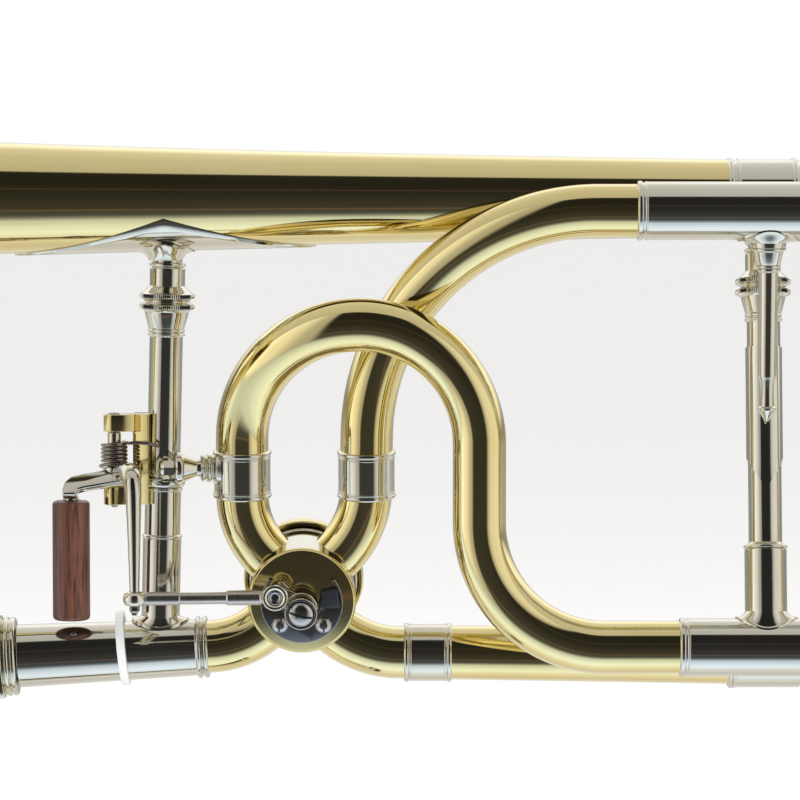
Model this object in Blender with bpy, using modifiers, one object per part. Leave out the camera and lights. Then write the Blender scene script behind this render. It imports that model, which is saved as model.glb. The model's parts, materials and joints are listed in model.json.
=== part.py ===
"""Tenor trombone with an open-wrap F attachment, modelled piece by piece.

The frame: +X runs from the slide towards the player's ear (rearwards), +Z is up with the bell above
the slide, and -Y is the side that the rotary valve's linkage faces. The origin is in the left hand's
grip, where the axis of the bell brace crosses the axis of the slide receiver. Sizes below are in
millimetres and are turned to metres where each mesh or curve is made.
"""
import math

import bmesh
import bpy
from mathutils import Matrix, Vector

MM = 0.001
GAP = 0.3               # clearance between pieces that touch

# Driving dimensions, in millimetres
BELL_Z = 132.2          # height of the bell's axis
BELL_RIM_X = -338.0     # plane of the bell's rim
BELL_RIM_R = 108.0      # an 8.5 inch bell
BELL_TAIL_X = 164.0
FLARE_LENGTH = 20.7     # how fast the flare closes behind the rim
FLARE_POWER = 0.7
BELL_WALL = 0.9
SLEEVE_END_X = 262.0    # rear end of the main tuning slide's sleeves
LEG_END_X = 300.0       # where the main tuning bow starts
GOOSENECK_Z = -1.8      # height of the lower tuning leg
ENTRY_BEND_R = 26.5     # from the receiver's axis up to the valve's lower port
VALVE = Vector((39.9, 0.0, 17.9))
VALVE_TILT = 10.0       # the valve's axis dips this many degrees below level, towards -Y
VALVE_R = 15.5
F_TUBE_R = 7.65         # F attachment tubing
F_WALL = 0.7
F_PLANE_Y = -24.0       # plane of the F tuning slide
F_UPPER_Z = 129.2
F_LOWER_Z = 3.4
F_SLEEVE_END_X = 240.0
F_BOW_X = 330.0
F_LEFT_X = 22.4         # the two risers above the valve
F_RIGHT_X = 58.6
FERRULE_Z = 52.0        # middle of both riser ferrules
FERRULE_HALF = 6.95
LEFT_LOOP_X, LEFT_LOOP_Z, LEFT_LOOP_R = 56.8, 62.2, 34.4
LOWER_BEND_X, LOWER_BEND_Z, LOWER_BEND_R = 127.5, 39.7, 36.3
RIGHT_BEND_X, RIGHT_BEND_Z, RIGHT_BEND_R = 125.5, 62.4, 66.8
HINGE = Vector((-14.9, -5.0, 0.0))   # the thumb trigger's upright axis
LEVER_BALL = Vector((-7.65, -30.5, 18.2))
BARREL_AXIS = Vector((-27.5, -6.5, 0.0))
LINK_CUP = Vector((32.5, -26.6, 18.2))   # the link's far end, just ahead of the crank's ball post
LINK_AXIS = Vector((0.0112, -0.1158, -0.9932))  # the link yaws and rises a little as it is pushed
ARM_ANGLE = 150.0       # where the valve's crank points at rest, from +X towards the top of its face
ARM_REACH = 8.6         # radius of the crank's ball
LUG_ANGLE = 135.0       # where the stop lug points at rest, beside the left bumper
SLIDE_TILT = math.radians(2.83)      # the handslide droops below the bell's axis
SLIDE_SPACING = 88.0
CROOK_START = 716.0     # along the slide, from the origin
REAR_BRACE_X = 174.0
WATER_PIVOT = CROOK_START + SLIDE_SPACING / 2.0 - 11.0

FORWARD = Vector((-math.cos(SLIDE_TILT), 0.0, -math.sin(SLIDE_TILT)))
ACROSS = Vector((math.sin(SLIDE_TILT), 0.0, -math.cos(SLIDE_TILT)))
BACKWARD = -FORWARD
VALVE_FRONT = Vector((0.0, -math.cos(math.radians(VALVE_TILT)), -math.sin(math.radians(VALVE_TILT))))
VALVE_UP = Vector((0.0, -math.sin(math.radians(VALVE_TILT)), math.cos(math.radians(VALVE_TILT))))
UP = Vector((0.0, 0.0, 1.0))
REARWARD = Vector((1.0, 0.0, 0.0))

# Each finish: linear colour, metallic, roughness
FINISHES = {
    "lacquered_brass": ((0.72, 0.47, 0.17), 1.0, 0.16),
    "nickel_silver": ((0.66, 0.63, 0.57), 1.0, 0.2),
    "blued_steel": ((0.08, 0.08, 0.09), 1.0, 0.3),
    "black_rubber": ((0.02, 0.02, 0.02), 0.0, 0.7),
    "natural_nylon": ((0.75, 0.74, 0.7), 0.0, 0.4),
    "rosewood": ((0.12, 0.045, 0.025), 0.0, 0.45),
    "silver_plate": ((0.85, 0.83, 0.78), 1.0, 0.12),
}


# ---------------------------------------------------------------- helpers

def clear_scene():
    for obj in list(bpy.data.objects):
        bpy.data.objects.remove(obj)


def make_finish(name):
    if name in bpy.data.materials:
        return bpy.data.materials[name]
    colour, metallic, roughness = FINISHES[name]
    made = bpy.data.materials.new(name)
    made.use_nodes = True
    shader = made.node_tree.nodes["Principled BSDF"]
    shader.inputs["Base Color"].default_value = (*colour, 1.0)
    shader.inputs["Metallic"].default_value = metallic
    shader.inputs["Roughness"].default_value = roughness
    return made


def make_collection(name):
    made = bpy.data.collections.new(name)
    bpy.context.scene.collection.children.link(made)
    return made


def attach(child, parent):
    """Parent a piece to a joint's empty and leave the piece where it is."""
    if parent:
        bpy.context.view_layer.update()
        child.parent = parent
        child.matrix_parent_inverse = parent.matrix_world.inverted()


def carrier(name, at, axis, within=None):
    """An empty on a joint's axis, its own Z along the axis, for the pieces that turn or slide there."""
    empty = bpy.data.objects.new(name, None)
    empty.empty_display_size = 0.02
    empty.matrix_basis = Matrix.Translation(at * MM) @ UP.rotation_difference(axis).to_matrix().to_4x4()
    TROMBONE.objects.link(empty)
    attach(empty, within)
    return empty


def add_piece(name, data, finish, carried_by=None):
    piece = bpy.data.objects.new(name, data)
    data.materials.clear()
    data.materials.append(make_finish(finish))
    TROMBONE.objects.link(piece)
    attach(piece, carried_by)
    return piece


def as_tool(piece):
    """Turn a piece into a hidden guide for a Boolean."""
    TROMBONE.objects.unlink(piece)
    TOOLS.objects.link(piece)
    piece.hide_render = True
    piece.display_type = "WIRE"
    return piece


def combine(piece, tool, operation):
    as_tool(tool)
    step = piece.modifiers.new(operation.lower() + "_" + tool.name, "BOOLEAN")
    step.operation = operation
    step.solver = "EXACT"
    step.object = tool
    return piece


def turned(name, finish, profile, base, axis, sides=12, ring=False, carried_by=None):
    """A lathe-turned piece: (radius, height) pairs down its outer side, and up its bore for a ring."""
    mesh = bpy.data.meshes.new(name)
    corners = [(radius * MM, 0.0, height * MM) for radius, height in profile]
    edges = [(i, i + 1) for i in range(len(corners) - 1)]
    if ring:
        edges.append((len(corners) - 1, 0))
    mesh.from_pydata(corners, edges, [])
    piece = add_piece(name, mesh, finish, carried_by)
    piece.matrix_basis = Matrix.Translation(base * MM) @ UP.rotation_difference(axis).to_matrix().to_4x4()
    turn = piece.modifiers.new("turn", "SCREW")
    turn.steps = sides
    turn.render_steps = sides
    turn.use_merge_vertices = True
    turn.merge_threshold = 0.00001
    return piece


def solid_profile(profile):
    """Close a profile onto its axis at the top and the bottom."""
    return [(0.0, profile[0][1])] + profile + [(0.0, profile[-1][1])]


def saddle(name, finish, radii, base, axis, facing, half_angle, thickness, sides=10):
    """A curved plate that wraps part of a turned body; radii are (radius, height) pairs, top first."""
    mesh = bpy.data.meshes.new(name)
    corners = [(radius * MM, 0.0, height * MM) for radius, height in radii]
    mesh.from_pydata(corners, [(i, i + 1) for i in range(len(corners) - 1)], [])
    piece = add_piece(name, mesh, finish)
    align = UP.rotation_difference(axis).to_matrix().to_4x4()
    local_facing = align.inverted() @ facing
    start = math.atan2(local_facing.y, local_facing.x) - half_angle
    piece.matrix_basis = Matrix.Translation(base * MM) @ align @ Matrix.Rotation(start, 4, "Z")
    turn = piece.modifiers.new("turn", "SCREW")
    turn.angle = 2.0 * half_angle
    turn.steps = sides
    turn.render_steps = sides
    turn.merge_threshold = 0.00001
    wall = piece.modifiers.new("wall", "SOLIDIFY")
    wall.thickness = thickness * MM
    wall.offset = -1.0
    return piece


def tube(name, finish, path, radius, wall, sides=12, end_radius=None, carried_by=None):
    """A bent tube along a path of points; wall 0 makes a solid rod, end_radius tapers it."""
    curve = bpy.data.curves.new(name, "CURVE")
    curve.dimensions = "3D"
    curve.bevel_depth = radius * MM
    curve.bevel_resolution = (sides - 4) // 2
    curve.use_fill_caps = wall == 0
    spline = curve.splines.new("POLY")
    spline.points.add(len(path) - 1)
    for i, spot in enumerate(path):
        spline.points[i].co = (*(spot * MM), 1.0)
        share = i / (len(path) - 1)
        spline.points[i].radius = 1.0 + share * ((end_radius or radius) / radius - 1.0)
    piece = add_piece(name, curve, finish, carried_by)
    if wall:
        shell = piece.modifiers.new("wall", "SOLIDIFY")
        shell.thickness = wall * MM
        shell.offset = -1.0
    return piece


def as_mesh(piece):
    """Make a curve piece a mesh of one welded body, so that a Boolean can take it."""
    bpy.context.view_layer.update()
    evaluated = piece.evaluated_get(bpy.context.evaluated_depsgraph_get())
    mesh = bpy.data.meshes.new_from_object(evaluated)
    welded = bmesh.new()
    welded.from_mesh(mesh)
    bmesh.ops.remove_doubles(welded, verts=welded.verts, dist=0.00001)
    welded.to_mesh(mesh)
    welded.free()
    name, finish, parent = piece.name, piece.data.materials[0].name, piece.parent
    place = piece.matrix_world.copy()
    bpy.data.objects.remove(piece)
    made = add_piece(name, mesh, finish, parent)
    made.matrix_basis = place
    return made


def box(name, finish, low, high, carried_by=None):
    mesh = bpy.data.meshes.new(name)
    block = bmesh.new()
    bmesh.ops.create_cube(block, size=1.0)
    bmesh.ops.scale(block, vec=(high - low) * MM, verts=block.verts)
    block.to_mesh(mesh)
    block.free()
    piece = add_piece(name, mesh, finish, carried_by)
    piece.matrix_basis = Matrix.Translation((low + high) * 0.5 * MM)
    return piece


def rod(name, finish, start, end, radius, sides=12, carried_by=None):
    """A straight solid rod between two points."""
    span = end - start
    profile = solid_profile([(radius, span.length), (radius, 0.0)])
    return turned(name, finish, profile, start, span.normalized(), sides, carried_by=carried_by)


def ball(name, finish, centre, radius, carried_by=None):
    mesh = bpy.data.meshes.new(name)
    sphere = bmesh.new()
    bmesh.ops.create_uvsphere(sphere, u_segments=10, v_segments=6, radius=radius * MM)
    sphere.to_mesh(mesh)
    sphere.free()
    piece = add_piece(name, mesh, finish, carried_by)
    piece.matrix_basis = Matrix.Translation(centre * MM)
    return piece


def outline_plate(name, finish, corners, thickness, place):
    """A flat plate with the outline given by (x, y) corners, standing on the plane of a matrix."""
    curve = bpy.data.curves.new(name, "CURVE")
    curve.dimensions = "2D"
    curve.fill_mode = "BOTH"
    curve.extrude = thickness * 0.5 * MM
    spline = curve.splines.new("POLY")
    spline.points.add(len(corners) - 1)
    for i, (x, y) in enumerate(corners):
        spline.points[i].co = (x * MM, y * MM, 0.0, 1.0)
    spline.use_cyclic_u = True
    piece = add_piece(name, curve, finish)
    piece.matrix_basis = place
    return piece


def arc(centre_x, centre_z, radius, start, end, steps):
    """(x, z) points along an arc, its angles in degrees from +X towards +Z."""
    angles = [math.radians(start + (end - start) * i / steps) for i in range(steps + 1)]
    return [(centre_x + radius * math.cos(a), centre_z + radius * math.sin(a)) for a in angles]


def smooth(share):
    share = min(1.0, max(0.0, share))
    return share * share * (3.0 - 2.0 * share)


def level(points, depth=0.0):
    return [Vector((x, depth, z)) for x, z in points]


def on_slide(along, across=0.0, depth=0.0):
    """A point of the handslide: along it from the origin, across towards the player's side tube."""
    return FORWARD * along + ACROSS * across + Vector((0.0, depth, 0.0))


def bell_radius(x):
    """Outer radius of the bell at x."""
    return BELL_RIM_R * (FLARE_LENGTH / (x - BELL_RIM_X + FLARE_LENGTH)) ** FLARE_POWER


def left_depth(x, z):
    """Y of the left F riser: it leans forward a little, then comes out over its loop's first quarter."""
    if x >= LEFT_LOOP_X:
        return -25.4
    riser = -2.5 - 0.1 * (z - 30.0)
    turned_by = math.degrees(math.atan2(z - LEFT_LOOP_Z, LEFT_LOOP_X - x)) if z > LEFT_LOOP_Z else 0.0
    return riser + (-25.4 - riser) * smooth(turned_by / 90.0)


def right_depth(x, z):
    """Y of the right F riser: it passes behind the left loop, then comes out to the slide's plane."""
    riser = -2.0 - 0.115 * (z - 30.0)
    turned_by = math.degrees(math.atan2(z - RIGHT_BEND_Z, RIGHT_BEND_X - x)) if z > RIGHT_BEND_Z else 0.0
    return riser + (F_PLANE_Y - riser) * smooth((turned_by - 28.0) / 67.0)


# ---------------------------------------------------------------- bell

def make_bell():
    stations = [0.0, 5.0, 12.0, 22.0, 36.0, 56.0, 84.0, 124.0, 180.0, 250.0, 330.0, 415.0,
                BELL_TAIL_X - BELL_RIM_X]
    outer = [(bell_radius(BELL_RIM_X + s), s) for s in reversed(stations)]
    rim = [(BELL_RIM_R + 1.2, 1.0), (BELL_RIM_R + 1.2, -1.6), (BELL_RIM_R - 1.0, -2.0)]
    inner = [(bell_radius(BELL_RIM_X + s) - BELL_WALL, s + 0.4) for s in stations[1:]]
    inner[-1] = (inner[-1][0], stations[-1])
    turned("bell", "lacquered_brass", outer[:-1] + rim + inner,
           Vector((BELL_RIM_X, 0.0, BELL_Z)), REARWARD, sides=24, ring=True)


def make_bell_flange():
    stations = [43.0, 21.0, 0.0, -21.0, -43.5]
    radii = [(bell_radius(x) + GAP + 1.1, x) for x in stations]
    plate = saddle("bell_flange", "nickel_silver", radii, Vector((0.0, 0.0, BELL_Z)), REARWARD,
                   -UP, math.radians(58.0), 0.8)
    corners = [(-44.5, 0.0), (-9.0, -13.5), (0.0, -15.0), (9.0, -13.5), (44.0, 0.0),
               (9.0, 13.5), (0.0, 15.0), (-9.0, 13.5)]
    trim = as_mesh(outline_plate("flange_outline", "nickel_silver", corners, 60.0,
                                 Matrix.Translation(Vector((0.0, 0.0, 105.0)) * MM)))
    combine(plate, trim, "INTERSECT")


def make_tuning_sleeves():
    """Each rear ferrule is soldered to the sleeve that the main tuning slide runs in."""
    upper = [(10.5, SLEEVE_END_X), (10.5, 184.0), (11.4, 183.5), (11.4, BELL_TAIL_X + GAP),
             (9.8, BELL_TAIL_X + GAP), (9.8, SLEEVE_END_X)]
    turned("bell_tail_sleeve", "nickel_silver", upper, Vector((0.0, 0.0, BELL_Z)), REARWARD,
           sides=16, ring=True)
    lower = [(9.1, SLEEVE_END_X), (9.1, 185.7), (9.6, 185.2), (9.6, 164.6), (8.5, 164.6),
             (8.5, SLEEVE_END_X)]
    turned("gooseneck_sleeve", "nickel_silver", lower, Vector((0.0, 0.0, GOOSENECK_Z)), REARWARD,
           sides=16, ring=True)


# ---------------------------------------------------------------- bell brace and slide receiver

def make_bell_brace():
    union = [(7.6, 115.2), (7.0, 114.4), (4.25, 113.6), (5.4, 112.8), (5.05, 106.2), (7.9, 105.2),
             (7.9, 100.2), (6.3, 99.8), (5.2, 95.2), (5.4, 94.4)]
    turned("brace_union", "nickel_silver", solid_profile(union), Vector(), UP)
    tube_profile = [(4.85, 94.1), (4.85, 33.3), (4.0, 33.3), (4.0, 94.1)]
    turned("brace_tube", "nickel_silver", tube_profile, Vector(), UP, ring=True)
    ferrule = [(5.9, 33.0), (5.6, 32.2), (5.6, 14.0), (6.4, 10.2), (6.4, 9.4)]
    turned("brace_foot", "nickel_silver", solid_profile(ferrule), Vector(), UP)


def make_receiver():
    profile = [(8.8, 12.2), (8.8, 8.8), (8.2, 8.4), (9.25, -43.6), (7.3, -43.6), (7.3, -2.0),
               (6.7, -2.0), (6.7, 12.2)]
    turned("slide_receiver", "nickel_silver", profile, Vector(), BACKWARD, sides=16, ring=True)
    ring = [(9.9, -11.9), (9.9, -14.1), (9.05, -14.1), (9.05, -11.9)]
    turned("guard_ring", "natural_nylon", ring, Vector(), BACKWARD, sides=16, ring=True)


def make_lock_nut():
    spin = carrier("lock_nut_axis", on_slide(44.0), BACKWARD)
    profile = [(11.4, -44.0), (11.4, -47.4), (12.2, -47.9), (12.2, -61.5), (11.0, -64.0),
               (7.7, -64.0), (7.7, -44.0)]
    turned("slide_lock_nut", "nickel_silver", profile, Vector(), BACKWARD, sides=16, ring=True,
           carried_by=spin)


# ---------------------------------------------------------------- rotary valve

def make_valve_body():
    casing = [(VALVE_R, 11.4), (VALVE_R, -9.0), (13.1, -9.0), (13.1, 11.4)]
    shell = turned("valve_casing", "nickel_silver", casing, VALVE, VALVE_FRONT, sides=24, ring=True)
    sideways = VALVE_FRONT.cross(VALVE_UP)
    for number, direction in enumerate((VALVE_UP + sideways, VALVE_UP - sideways)):
        reach = direction.normalized() * 20.0
        drill = rod(f"port_drill_{number}", "blued_steel", VALVE - reach, VALVE + reach, 5.2, 10)
        combine(shell, drill, "DIFFERENCE")
    plate = [(15.2, 14.0), (VALVE_R, 13.2), (VALVE_R, 11.7), (3.3, 11.7), (3.3, 14.0)]
    turned("valve_front_plate", "lacquered_brass", plate, VALVE, VALVE_FRONT, sides=24, ring=True)
    cap = [(17.2, -9.3), (17.65, -10.0), (17.65, -13.0), (15.6, -13.6), (15.6, -15.0)]
    turned("valve_back_cap", "lacquered_brass", solid_profile(cap), VALVE, VALVE_FRONT, sides=24)


def valve_plane(height):
    """A matrix on the valve's axis: its X is +X, its Y is up the valve's face, its Z is the axis."""
    across = Vector((1.0, 0.0, 0.0))
    columns = Matrix((across, VALVE_UP, VALVE_FRONT)).transposed().to_4x4()
    return Matrix.Translation((VALVE + VALVE_FRONT * height) * MM) @ columns


def make_stops():
    """A half-moon plate that holds the two rubber bumpers, with its two screws fused to it."""
    outer = arc(0.0, 0.0, 11.4, 187.0, 353.0, 12)
    notch = arc(0.0, 0.0, 5.6, 346.0, 194.0, 8)
    place = valve_plane(15.3)
    plate = as_mesh(outline_plate("stop_plate", "blued_steel", outer + notch, 2.0, place))
    for number, side in enumerate((-6.3, 6.3)):
        foot = VALVE + VALVE_FRONT * 15.9 + Vector((side, 0.0, 0.0)) - VALVE_UP * 6.4
        screw = rod(f"stop_screw_{number}", "blued_steel", foot, foot + VALVE_FRONT * 1.5, 1.9, 8)
        combine(plate, screw, "UNION")
    for name, side in (("stop_bumper_left", -8.1), ("stop_bumper_right", 8.1)):
        foot = VALVE + VALVE_FRONT * 14.3 + Vector((side, 0.0, 0.0)) + VALVE_UP * 2.9
        rod(name, "black_rubber", foot, foot + VALVE_FRONT * 3.2, 2.3, 8)


def make_rotor():
    """The turning core: two curved passages, each joining two neighbouring ports."""
    spin = carrier("rotor_axis", VALVE, VALVE_FRONT)
    body = [(2.9, 21.4), (2.9, 11.0), (12.7, 10.8), (12.7, -8.4)]
    core = turned("rotor", "lacquered_brass", solid_profile(body), VALVE, VALVE_FRONT, sides=24,
                  carried_by=spin)
    for number, side in enumerate((-1.0, 1.0)):
        ring = [(12.6 + 4.5 * math.cos(math.radians(a)), 4.5 * math.sin(math.radians(a)))
                for a in range(90, -270, -45)]
        passage = turned(f"passage_{number}", "blued_steel", ring, VALVE + VALVE_UP * side * 17.8,
                         VALVE_FRONT, sides=20, ring=True)
        combine(core, passage, "DIFFERENCE")
    return spin


def on_face(angle):
    """A unit step across the valve's face, at an angle in degrees from +X towards its top."""
    return Vector((math.cos(math.radians(angle)), 0.0, 0.0)) + VALVE_UP * math.sin(math.radians(angle))


def make_stop_arm(spin):
    """The arm on the rotor's stem: a crank with the linkage's ball post, and a lug for the bumpers."""
    hub_profile = [(4.7, 21.1), (4.7, 15.0), (3.2, 15.0), (3.2, 21.1)]
    hub = turned("stop_arm", "nickel_silver", hub_profile, VALVE, VALVE_FRONT, ring=True,
                 carried_by=spin)
    crank_way = on_face(ARM_ANGLE)
    level_19 = VALVE + VALVE_FRONT * 19.5
    combine(hub, rod("crank", "nickel_silver", level_19 + crank_way * 4.0, level_19 + crank_way * 10.2,
                     1.5, 8), "UNION")
    seat = level_19 + crank_way * ARM_REACH
    combine(hub, rod("ball_post", "nickel_silver", seat, seat + VALVE_FRONT * 3.0, 1.5, 8), "UNION")
    level_16 = VALVE + VALVE_FRONT * 16.3
    lug_way = on_face(LUG_ANGLE)
    combine(hub, rod("stop_lug", "nickel_silver", level_16 + lug_way * 4.0, level_16 + lug_way * 9.6,
                     1.2, 8), "UNION")
    screw = [(3.4, 24.6), (3.6, 24.0), (3.6, 21.8)]
    turned("rotor_screw", "nickel_silver", solid_profile(screw), VALVE, VALVE_FRONT,
           carried_by=spin)


# ---------------------------------------------------------------- tubing below and above the valve

def make_valve_tubes():
    start = on_slide(-12.9)
    centre = start - ACROSS * ENTRY_BEND_R
    first_angle = math.degrees(SLIDE_TILT) - 90.0
    entry = level([(on_slide(-12.5).x, on_slide(-12.5).z)]
                  + arc(centre.x, centre.z, ENTRY_BEND_R, first_angle, -52.5, 4))
    tube("valve_entry_tube", "lacquered_brass", entry, F_TUBE_R, F_WALL)
    leave = level(arc(68.5, 28.8, 29.9, -126.0, -90.0, 4) + [(69.3, -1.1)])
    tube("valve_exit_tube", "lacquered_brass", leave, F_TUBE_R, F_WALL)
    ferrule = [(8.4, 83.5), (8.4, 69.6), (7.0, 69.6), (7.0, 83.5)]
    turned("gooseneck_ferrule", "nickel_silver", ferrule, Vector((0.0, 0.0, -1.1)), REARWARD, ring=True)
    run = [Vector((83.8, 0.0, -1.1)), Vector((164.3, 0.0, GOOSENECK_Z))]
    tube("gooseneck_tube", "lacquered_brass", run, 7.85, F_WALL, end_radius=8.5)


def leaning(points, depth_of):
    return [Vector((x, depth_of(x, z), z)) for x, z in points]


def make_f_risers():
    for side, x, bend, depth_of in (("left", F_LEFT_X, 14.0, left_depth),
                                    ("right", F_RIGHT_X, -15.7, right_depth)):
        turn = arc(x + bend, 42.5, abs(bend), 215.0 if bend > 0 else -35.0,
                   180.0 if bend > 0 else 0.0, 3)
        port = (VALVE.x - math.copysign(12.2, bend), VALVE.z + 12.2)
        path = leaning([port] + turn[1:] + [(x, FERRULE_Z - FERRULE_HALF - GAP)], depth_of)
        tube(f"f_{side}_port_bend", "lacquered_brass", path, F_TUBE_R, F_WALL)
        low = Vector((x, depth_of(x, FERRULE_Z - FERRULE_HALF), FERRULE_Z - FERRULE_HALF))
        high = Vector((x, depth_of(x, FERRULE_Z + FERRULE_HALF), FERRULE_Z + FERRULE_HALF))
        length = (high - low).length
        ferrule = [(8.3, length), (8.3, 0.0), (7.0, 0.0), (7.0, length)]
        turned(f"f_{side}_ferrule", "nickel_silver", ferrule, low, (high - low).normalized(), ring=True)


def make_f_wrap():
    start = (F_LEFT_X, FERRULE_Z + FERRULE_HALF + 2.0 * GAP)
    over = arc(LEFT_LOOP_X, LEFT_LOOP_Z, LEFT_LOOP_R, 180.0, 0.0, 10)
    down = arc(LOWER_BEND_X, LOWER_BEND_Z, LOWER_BEND_R, 180.0, 270.0, 5)
    path = leaning([start] + over, left_depth)
    path += [Vector((x, -25.4 + 1.4 * smooth(i / 5.0), z)) for i, (x, z) in enumerate(down)]
    path.append(Vector((148.5, F_PLANE_Y, F_LOWER_Z)))
    tube("f_left_loop", "lacquered_brass", path, F_TUBE_R, F_WALL)
    start = (F_RIGHT_X, FERRULE_Z + FERRULE_HALF + 2.0 * GAP)
    bend = arc(RIGHT_BEND_X, RIGHT_BEND_Z, RIGHT_BEND_R, 180.0, 90.0, 8)
    path = leaning([start] + bend + [(135.8, F_UPPER_Z)], right_depth)
    path[-1].y = F_PLANE_Y
    tube("f_right_loop", "lacquered_brass", path, F_TUBE_R, F_WALL)
    for name, start_x, z in (("f_upper_sleeve", 136.2, F_UPPER_Z), ("f_lower_sleeve", 148.8, F_LOWER_Z)):
        profile = [(8.4, F_SLEEVE_END_X), (8.4, start_x), (7.75, start_x), (7.75, F_SLEEVE_END_X)]
        turned(name, "nickel_silver", profile, Vector((0.0, F_PLANE_Y, z)), REARWARD, sides=16, ring=True)


# ---------------------------------------------------------------- struts

def make_struts():
    knob = Vector((-1.5, -9.3, 53.8))
    target = Vector((F_LEFT_X, left_depth(F_LEFT_X, 53.8), 53.8))
    span = (target - knob).length - 8.3 - GAP - 0.3
    profile = [(3.2, span), (2.2, span - 1.8), (3.6, span - 3.0), (3.6, span - 5.0),
               (2.0, span - 6.4), (4.1, 5.8), (4.1, 4.4), (3.2, 4.2), (3.2, 0.0)]
    turned("wrap_strut", "nickel_silver", solid_profile(profile), knob, (target - knob).normalized())
    top = Vector((REAR_BRACE_X, 0.0, BELL_Z))
    bottom = Vector((REAR_BRACE_X, F_PLANE_Y, F_LOWER_Z))
    length = (bottom - top).length
    profile = [(7.5, -11.9), (7.0, -13.2), (4.6, -15.0), (5.2, -23.6), (8.1, -24.6), (8.1, -29.8),
               (6.2, -30.4), (5.35, -37.0), (5.35, -length + 29.5), (6.2, -length + 29.0),
               (6.2, -length + 9.0)]
    brace = turned("rear_brace", "nickel_silver", solid_profile(profile), top,
                   (top - bottom).normalized())
    plate = saddle("brace_cuff", "nickel_silver", [(6.2, -46.5), (6.2, -87.0)], top,
                   (top - bottom).normalized(), Vector((0.0, -1.0, 0.0)), math.radians(75.0), 1.3, 6)
    points = [(-8.0, 100.0), (8.0, 100.0), (8.0, 72.0), (0.0, 46.4), (-8.0, 72.0)]
    upright = Matrix.Translation(Vector((REAR_BRACE_X, -16.0, 0.0)) * MM) @ \
        Matrix.Rotation(math.radians(90.0), 4, "X")
    trim = as_mesh(outline_plate("cuff_outline", "nickel_silver", points, 40.0, upright))
    combine(plate, trim, "INTERSECT")
    combine(brace, plate, "UNION")
    head = Vector((REAR_BRACE_X, F_PLANE_Y, F_UPPER_Z))
    tip = Vector((REAR_BRACE_X, -20.2, 68.0))
    reach = (tip - head).length
    profile = [(6.4, -8.9), (5.6, -10.0), (3.2, -13.5), (3.4, -15.0), (2.65, -18.0),
               (2.65, -reach + 6.0), (0.8, -reach)]
    turned("rear_strut", "nickel_silver", solid_profile(profile), head, (head - tip).normalized())


# ---------------------------------------------------------------- thumb trigger

def make_trigger_hinge():
    block = box("hinge_block", "lacquered_brass", Vector((-9.6, -6.2, 43.0)), Vector((-5.25, 3.0, 69.4)))
    for number, (low, high) in enumerate(((43.0, 48.5), (64.4, 69.4))):
        knuckle = rod(f"knuckle_{number}", "lacquered_brass", HINGE + UP * low, HINGE + UP * high, 3.1)
        web = box(f"web_{number}", "lacquered_brass", Vector((-14.9, -6.1, low + 0.2)),
                  Vector((-9.0, -2.4, high - 0.2)))
        combine(block, knuckle, "UNION")
        combine(block, web, "UNION")
    drill = rod("pin_drill", "blued_steel", HINGE + UP * 40.0, HINGE + UP * 72.0, 1.45, 8)
    combine(block, drill, "DIFFERENCE")
    pin = [(2.2, 71.2), (2.2, 69.8), (1.05, 69.7), (1.05, 41.8)]
    turned("hinge_pin", "blued_steel", solid_profile(pin), HINGE, UP, sides=8)


def make_trigger_spring():
    """Six close turns round the lever's sleeve; one leg bears on the brace, one on the lever."""
    turns, per_turn, rise, radius = 5.5, 8, 1.1, 2.8
    path = [Vector((-21.5, -6.6, 54.6)), Vector((-18.0, -7.6, 54.9))]
    count = int(turns * per_turn)
    for i in range(count + 1):
        angle = math.radians(225.0 + 360.0 * i / per_turn)
        path.append(HINGE + Vector((radius * math.cos(angle), radius * math.sin(angle),
                                    54.9 + rise * i / per_turn)))
    path += [Vector((-9.5, -9.2, 60.9)), Vector((-3.5, -7.9, 60.6)), Vector((0.4, -5.8, 60.4))]
    tube("trigger_spring", "blued_steel", path, 0.42, 0.0, sides=6)


def make_trigger():
    swing = carrier("trigger_axis", HINGE, UP)
    hub = [(1.95, 64.1), (1.95, 54.0), (3.2, 53.9), (3.2, 48.8), (1.4, 48.8), (1.4, 64.1)]
    lever = turned("trigger_lever", "nickel_silver", hub, HINGE, UP, ring=True, carried_by=swing)
    rear = [Vector((-17.2, -5.0, 51.4)), Vector((-22.5, -5.6, 51.0)), Vector((-26.3, -6.4, 49.6)),
            Vector((-27.5, -6.5, 47.0)), Vector((-27.5, -6.5, 44.4))]
    combine(lever, as_mesh(tube("lever_rear_arm", "nickel_silver", rear, 2.2, 0.0, 8)), "UNION")
    core = rod("lever_core", "nickel_silver", BARREL_AXIS + UP * 9.6, BARREL_AXIS + UP * 46.0, 1.1, 8)
    combine(lever, core, "UNION")
    front = [Vector((-13.6, -7.0, 51.4)), Vector((-12.7, -13.5, 51.6)), Vector((-9.9, -21.5, 52.6)),
             Vector((-7.9, -27.4, 50.5)), Vector((-7.65, -29.9, 41.0)), Vector((-7.65, -30.5, 18.6))]
    arm = as_mesh(tube("lever_front_arm", "nickel_silver", front, 2.4, 0.0, 8, end_radius=1.35))
    combine(lever, arm, "UNION")
    combine(lever, ball("lever_ball", "nickel_silver", LEVER_BALL, 2.35), "UNION")
    barrel = [(4.6, 44.1), (5.45, 43.0), (5.45, 10.6), (4.4, 9.3), (1.45, 9.3), (1.45, 44.1)]
    turned("trigger_barrel", "rosewood", barrel, BARREL_AXIS, UP, ring=True,
           carried_by=swing)
    return swing


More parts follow.
